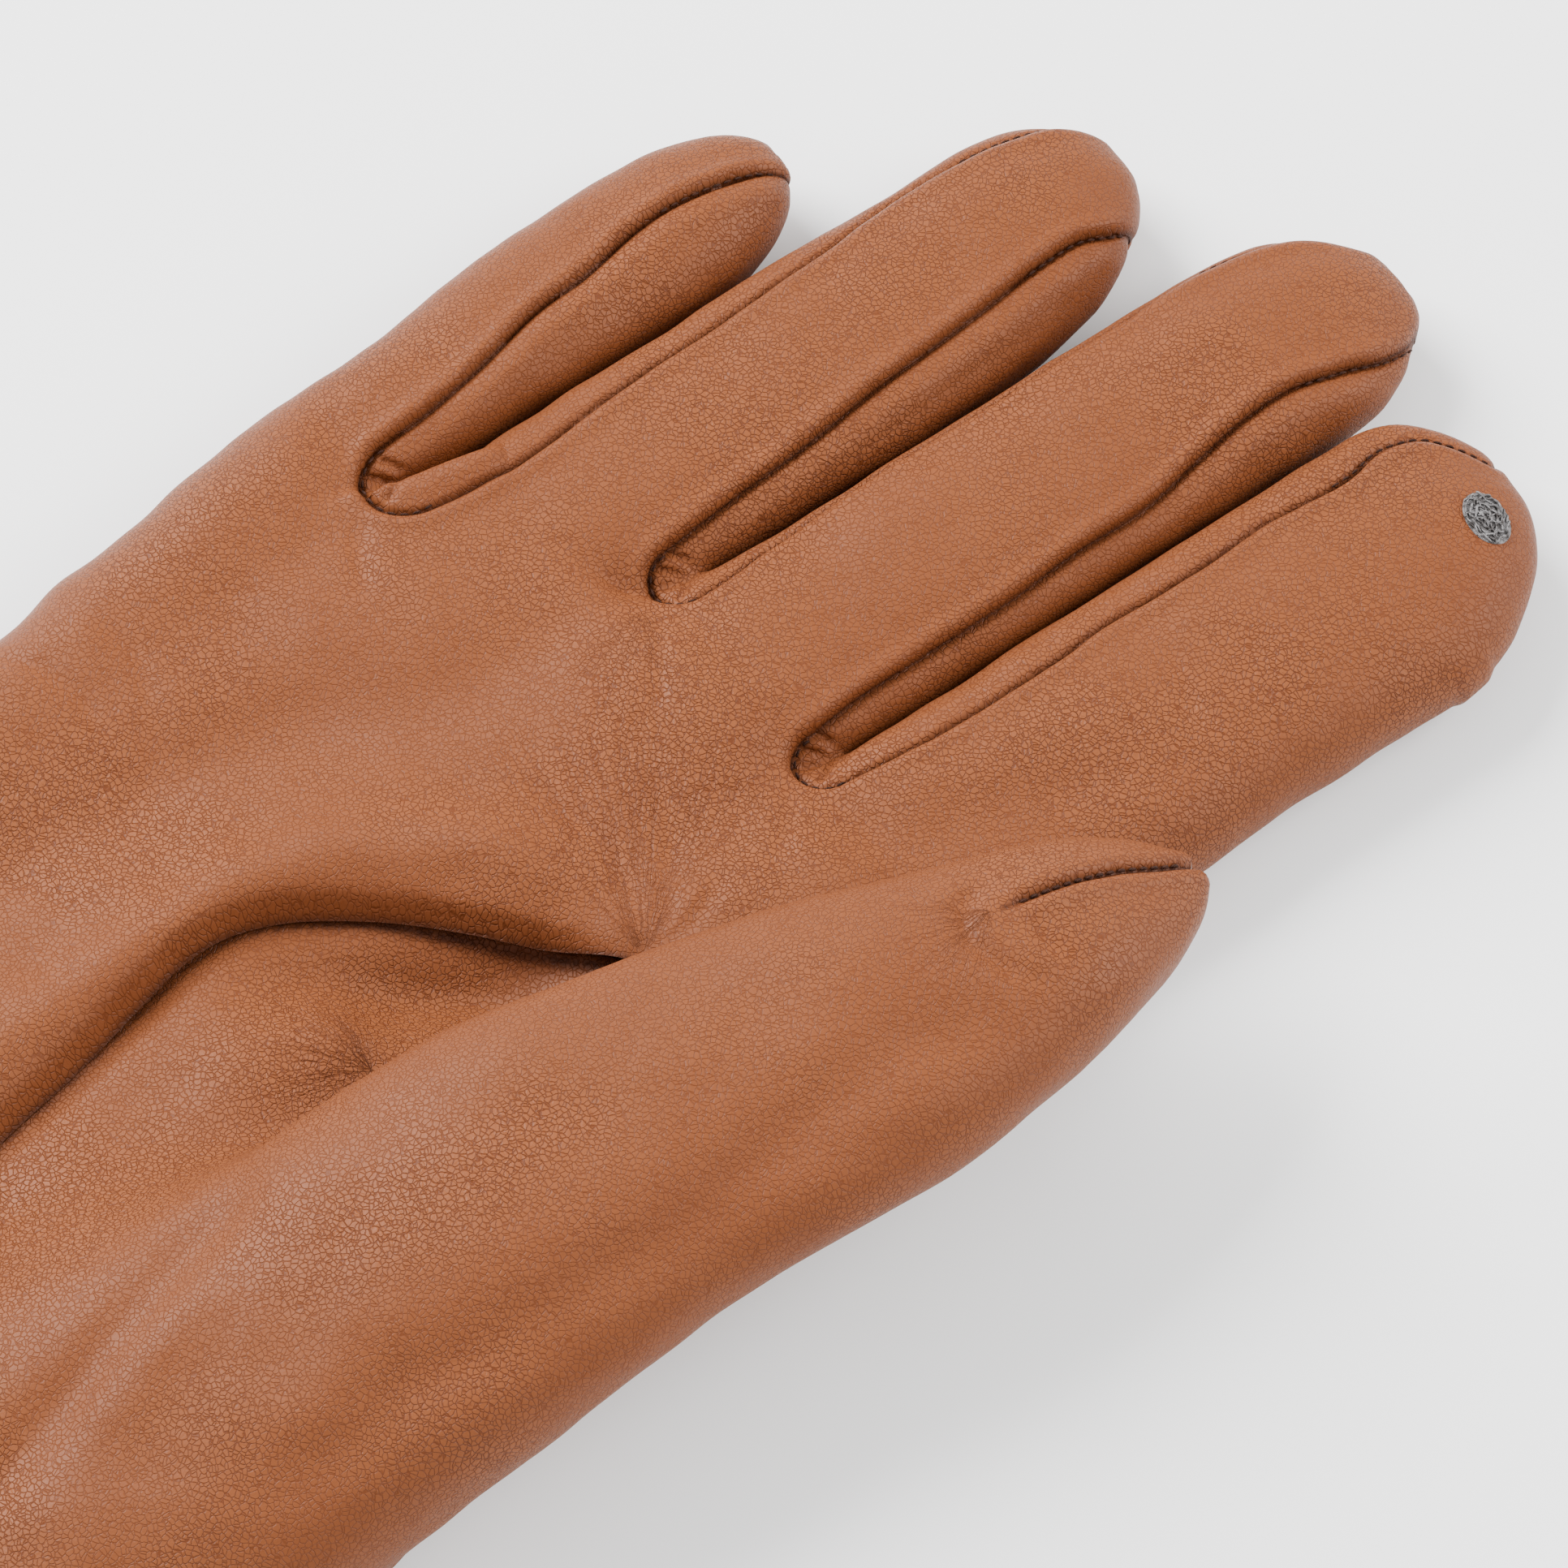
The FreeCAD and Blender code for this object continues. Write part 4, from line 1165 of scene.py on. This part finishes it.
def build_patch(material):
    """The embroidered patch: crossing rows of short, slightly untidy stitches inside an oval, and a rim."""
    rng = np.random.default_rng(41)
    parts = []
    c, s = math.cos(PATCH_TURN), math.sin(PATCH_TURN)

    def place(u, v, lift):
        x = PATCH_CENTRE[0] + u * PATCH_RX * c - v * PATCH_RY * s
        y = PATCH_CENTRE[1] + u * PATCH_RX * s + v * PATCH_RY * c
        return np.stack([x, y, drop(hand_field, x, y, 18.0) + lift], -1)

    for ring, count in ((0.86, 24), (0.66, 18), (0.44, 13), (0.2, 7)):
        for k in range(count):
            middle = (k + rng.uniform(-0.3, 0.3)) / count * 2 * math.pi
            half = rng.uniform(0.20, 0.34) / ring * 0.75
            lean = rng.uniform(-0.16, 0.16)
            angle = middle + np.linspace(-half, half, 7)
            r = ring + np.linspace(-lean, lean, 7) + rng.uniform(-0.03, 0.03)
            r = np.minimum(r, 0.99)
            lift = 0.10 + 0.16 * np.sin(np.linspace(0, math.pi, 7)) * rng.uniform(0.7, 1.3)
            parts.append(strand(place(r * np.cos(angle), r * np.sin(angle), lift), rng.uniform(0.10, 0.14)))
    for _ in range(26):
        turn = rng.uniform(0, 2 * math.pi)
        r = rng.uniform(0.1, 0.85)
        u, v = r * math.cos(turn), r * math.sin(turn)
        way = turn + rng.uniform(-0.6, 0.6)
        t = np.linspace(-0.17, 0.17, 6)
        parts.append(strand(place(u + t * math.cos(way), v + t * math.sin(way), 0.26), 0.09))
    angle = np.linspace(0, 2 * math.pi, 49)[:-1]
    pad = ((1.0, -0.2), (0.97, 0.06), (0.6, 0.10), (0.02, 0.12))
    rings = [place(np.cos(angle) * q, np.sin(angle) * q, lift) for q, lift in pad]
    n = len(angle)
    tris = []
    for i in range(3):
        for k in range(n):
            a, b = i * n + k, i * n + (k + 1) % n
            tris += [(a, b, b + n), (a, b + n, a + n)]
    parts.append((np.concatenate(rings), np.array(tris)))
    patch = thread_object("touch_patch", parts, material)
    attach(patch, "index_upper")
    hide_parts("touch_pad", "touch_contact")
    return patch


# Materials


class Shader:
    """A node material built step by step. Inputs are values or the outputs of earlier nodes."""

    def __init__(self, name):
        self.material = bpy.data.materials.new(name)
        self.material.use_nodes = True
        self.tree = self.material.node_tree
        self.skin = self.tree.nodes["Principled BSDF"]

    def put(self, socket, value):
        if isinstance(value, bpy.types.NodeSocket):
            self.tree.links.new(value, socket)
        else:
            socket.default_value = value

    def node(self, kind, inputs=None, **settings):
        made = self.tree.nodes.new(kind)
        for key, value in settings.items():
            setattr(made, key, value)
        for key, value in (inputs or {}).items():
            self.put(made.inputs[key], value)
        return made

    def math(self, operation, a, b=0.0, c=0.0):
        return self.node("ShaderNodeMath", {0: a, 1: b, 2: c}, operation=operation).outputs[0]

    def vector(self, operation, a, b):
        return self.node("ShaderNodeVectorMath", {0: a, 1: b}, operation=operation).outputs[0]

    def noise(self, where, scale, detail=2.0, roughness=0.5):
        made = self.node(
            "ShaderNodeTexNoise", {"Vector": where, "Scale": scale, "Detail": detail, "Roughness": roughness}
        )
        return made.outputs["Fac"]

    def wave(self, where, scale, distortion, detail):
        inputs = {"Vector": where, "Scale": scale, "Distortion": distortion, "Detail": detail}
        return self.node("ShaderNodeTexWave", inputs).outputs["Fac"]

    def smooth(self, value, lo, hi, out_lo=0.0, out_hi=1.0):
        made = self.node(
            "ShaderNodeMapRange",
            {"Value": value, "From Min": lo, "From Max": hi, "To Min": out_lo, "To Max": out_hi},
            interpolation_type="SMOOTHSTEP",
        )
        return made.outputs["Result"]

    def mix(self, factor, a, b):
        made = self.node("ShaderNodeMix", data_type="RGBA")
        self.put(made.inputs["Factor"], factor)
        self.put(made.inputs[6], a)
        self.put(made.inputs[7], b)
        return made.outputs[2]

    def attribute(self, name, output="Vector"):
        return self.node("ShaderNodeAttribute", attribute_name=name).outputs[output]

    def bump(self, height_mm, strength=1.0):
        made = self.node("ShaderNodeBump", {"Height": height_mm, "Strength": strength, "Distance": MM})
        return made.outputs["Normal"]


def fan_height(sh, rest, centre, heading, half_angle, reach, count, depth):
    """Wrinkles that run out from a point, fading with distance."""
    away = sh.vector("SUBTRACT", rest, centre)
    parts = sh.node("ShaderNodeSeparateXYZ", {0: away}).outputs
    turn = math.radians(heading)
    c, s = math.cos(turn), math.sin(turn)
    ahead = sh.math("ADD", sh.math("MULTIPLY", parts[0], c), sh.math("MULTIPLY", parts[1], s))
    aside = sh.math("SUBTRACT", sh.math("MULTIPLY", parts[1], c), sh.math("MULTIPLY", parts[0], s))
    angle = sh.math("ARCTAN2", aside, ahead)
    distance = sh.node("ShaderNodeVectorMath", {0: away}, operation="LENGTH").outputs["Value"]
    across, outward = sh.math("MULTIPLY", angle, count), sh.math("MULTIPLY", distance, 0.05)
    spot = sh.node("ShaderNodeCombineXYZ", {0: across, 1: outward, 2: centre[0]}).outputs[0]
    waves = sh.noise(spot, 1.0, 3.0, 0.6)
    line = sh.smooth(sh.math("ABSOLUTE", sh.math("SUBTRACT", waves, 0.5)), 0.0, 0.06, 1.0, 0.0)
    half = math.radians(half_angle)
    inside = sh.smooth(sh.math("ABSOLUTE", angle), half * 0.5, half, 1.0, 0.0)
    far = sh.smooth(distance, reach * 0.3, reach, 1.0, 0.0)
    fade = sh.math("MULTIPLY", far, sh.smooth(distance, 0.3, 2.0))
    strength = sh.math("MULTIPLY", inside, fade)
    return sh.math("MULTIPLY", sh.math("MULTIPLY", line, strength), -depth)


def leather():
    """Cognac nappa: pebble grain that opens and closes over the glove, wrinkles with painted shade in their
    creases, darker seams, soft shine.
    """
    sh = Shader("nappa_leather")
    rest = sh.attribute("rest")
    seam = sh.attribute("seam", "Fac")
    sway = sh.node("ShaderNodeTexNoise", {"Vector": rest, "Scale": 1.0, "Detail": 1.0}).outputs["Color"]
    bent = sh.vector("ADD", rest, sh.vector("MULTIPLY", sway, (0.6, 0.6, 0.6)))
    cells = sh.node("ShaderNodeTexVoronoi", {"Vector": bent, "Scale": GRAIN}, feature="DISTANCE_TO_EDGE")
    cells = cells.outputs["Distance"]
    pebble = sh.smooth(cells, 0.0, 0.13)
    grain_mask = sh.noise(rest, 0.05, 2.0)
    open_grain = sh.smooth(grain_mask, 0.38, 0.64, 0.6, 1.0)
    crack = sh.math("MULTIPLY", sh.math("SUBTRACT", 1.0, pebble), open_grain)
    drawn = sh.vector("MULTIPLY", bent, (0.4, 0.9, 0.9))
    lines = sh.noise(drawn, 0.8, 2.0, 0.6)
    crease = sh.smooth(sh.math("ABSOLUTE", sh.math("SUBTRACT", lines, 0.5)), 0.0, 0.045, 1.0, 0.0)
    crease = sh.math("MULTIPLY", crease, sh.smooth(grain_mask, 0.52, 0.66))
    swell = sh.noise(rest, 1.1, 3.0, 0.65)
    wrinkles = None
    for fan in FANS:
        h = fan_height(sh, bent, *fan)
        wrinkles = h if wrinkles is None else sh.math("ADD", wrinkles, h)
    height = sh.math("MULTIPLY_ADD", crack, -0.075, sh.math("MULTIPLY", swell, 0.075))
    height = sh.math("MULTIPLY_ADD", crease, -0.05, height)
    height = sh.math("ADD", height, wrinkles)
    patches = sh.smooth(sh.noise(rest, 0.05, 3.0), 0.3, 0.7)
    colour = sh.mix(patches, LEATHER_DEEP, LEATHER_LIGHT)
    colour = sh.mix(sh.math("MULTIPLY", crack, 0.78), colour, LEATHER_VALLEY_AND_CREASE_SHADE)
    # Painted shade: the colour darkens along the creases of the wrinkle fans
    colour = sh.mix(sh.math("MULTIPLY", sh.math("MULTIPLY", wrinkles, -6.0), 0.6), colour, LEATHER_VALLEY_AND_CREASE_SHADE)
    colour = sh.mix(sh.math("MULTIPLY", seam, 0.8), colour, LEATHER_SEAM)
    rough = sh.math("MULTIPLY_ADD", swell, 0.16, LEATHER_ROUGH)
    skin = sh.skin.inputs
    sh.put(skin["Base Color"], colour)
    sh.put(skin["Roughness"], rough)
    sh.put(skin["Normal"], sh.bump(height))
    skin["Specular IOR Level"].default_value = 0.12
    return sh.material




def knit():
    """Brushed brown knit of the lining."""
    sh = Shader("lining_knit")
    rest = sh.attribute("rest")
    wales = sh.wave(rest, 0.32, 1.5, 2.0)
    fuzz = sh.noise(rest, 3.0, 4.0, 0.7)
    height = sh.math("ADD", sh.math("MULTIPLY", wales, 0.12), sh.math("MULTIPLY", fuzz, 0.2))
    skin = sh.skin.inputs
    sh.put(skin["Base Color"], sh.mix(fuzz, (0.055, 0.032, 0.02, 1.0), (0.16, 0.10, 0.065, 1.0)))
    sh.put(skin["Normal"], sh.bump(height))
    skin["Roughness"].default_value = 0.9
    skin["Sheen Weight"].default_value = 0.4
    return sh.material


def thread(name, dark, light, rough, metal, scale):
    """Twisted thread: two tones, fine ridges along the twist."""
    sh = Shader(name)
    rest = sh.attribute("rest")
    twist = sh.wave(rest, scale, 2.5, 1.0)
    tone = sh.noise(rest, 1.7, 3.0, 0.6)
    skin = sh.skin.inputs
    sh.put(skin["Base Color"], sh.mix(sh.smooth(tone, 0.35, 0.65), dark, light))
    sh.put(skin["Normal"], sh.bump(sh.math("MULTIPLY", twist, 0.04)))
    skin["Roughness"].default_value = rough
    skin["Metallic"].default_value = metal
    skin["Specular IOR Level"].default_value = 0.2
    return sh.material


def build():
    skin = leather()
    lining = knit()
    brown = thread("sewing_thread", *SEWING_THREAD)
    silver = thread("touch_thread", *TOUCH_THREAD)
    for obj in build_hand(skin) + build_thumb(skin) + [build_hem(skin)] + build_stitches(brown):
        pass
    for obj in build_lining(lining):
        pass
    build_patch(silver)


def set_stage():
    floor_mesh = bpy.data.meshes.new("floor")
    s = FLOOR_HALF
    floor_mesh.from_pydata([(-s, -s, 0), (s, -s, 0), (s, s, 0), (-s, s, 0)], [], [(0, 1, 2, 3)])
    floor = bpy.data.objects.new("floor", floor_mesh)
    bpy.context.scene.collection.objects.link(floor)
    pale = bpy.data.materials.new("floor")
    pale.use_nodes = True
    shader = pale.node_tree.nodes["Principled BSDF"]
    shader.inputs["Base Color"].default_value = (FLOOR_TONE, FLOOR_TONE, FLOOR_TONE, 1)
    shader.inputs["Roughness"].default_value = 0.9
    floor_mesh.materials.append(pale)
    world = bpy.data.worlds.new("studio")
    bpy.context.scene.world = world
    world.use_nodes = True
    world.node_tree.nodes["Background"].inputs["Color"].default_value = (1, 1, 1, 1)
    world.node_tree.nodes["Background"].inputs["Strength"].default_value = SKY
    for name, place, size, power in LAMPS:
        lamp = bpy.data.lights.new(name, "AREA")
        lamp.energy = power
        lamp.size = size
        o = bpy.data.objects.new(name, lamp)
        o.location = place
        o.rotation_euler = (Vector((0.01, 0.03, 0.0)) - Vector(place)).to_track_quat("-Z", "Y").to_euler()
        bpy.context.scene.collection.objects.link(o)


def set_camera():
    data = bpy.data.cameras.new("camera")
    data.sensor_width = 36.0
    data.lens = CAMERA_LENS
    data.clip_end = 20.0
    cam = bpy.data.objects.new("camera", data)
    az, el = math.radians(CAMERA_AZIMUTH), math.radians(CAMERA_ELEVATION)
    back = Vector((math.sin(az) * math.cos(el), -math.cos(az) * math.cos(el), math.sin(el)))
    target = Vector(CAMERA_TARGET) * MM
    cam.location = target + back * CAMERA_DISTANCE * MM
    cam.rotation_euler = (-back).to_track_quat("-Z", "Y").to_euler()
    bpy.context.scene.collection.objects.link(cam)
    bpy.context.scene.camera = cam


build()
set_stage()
set_camera()
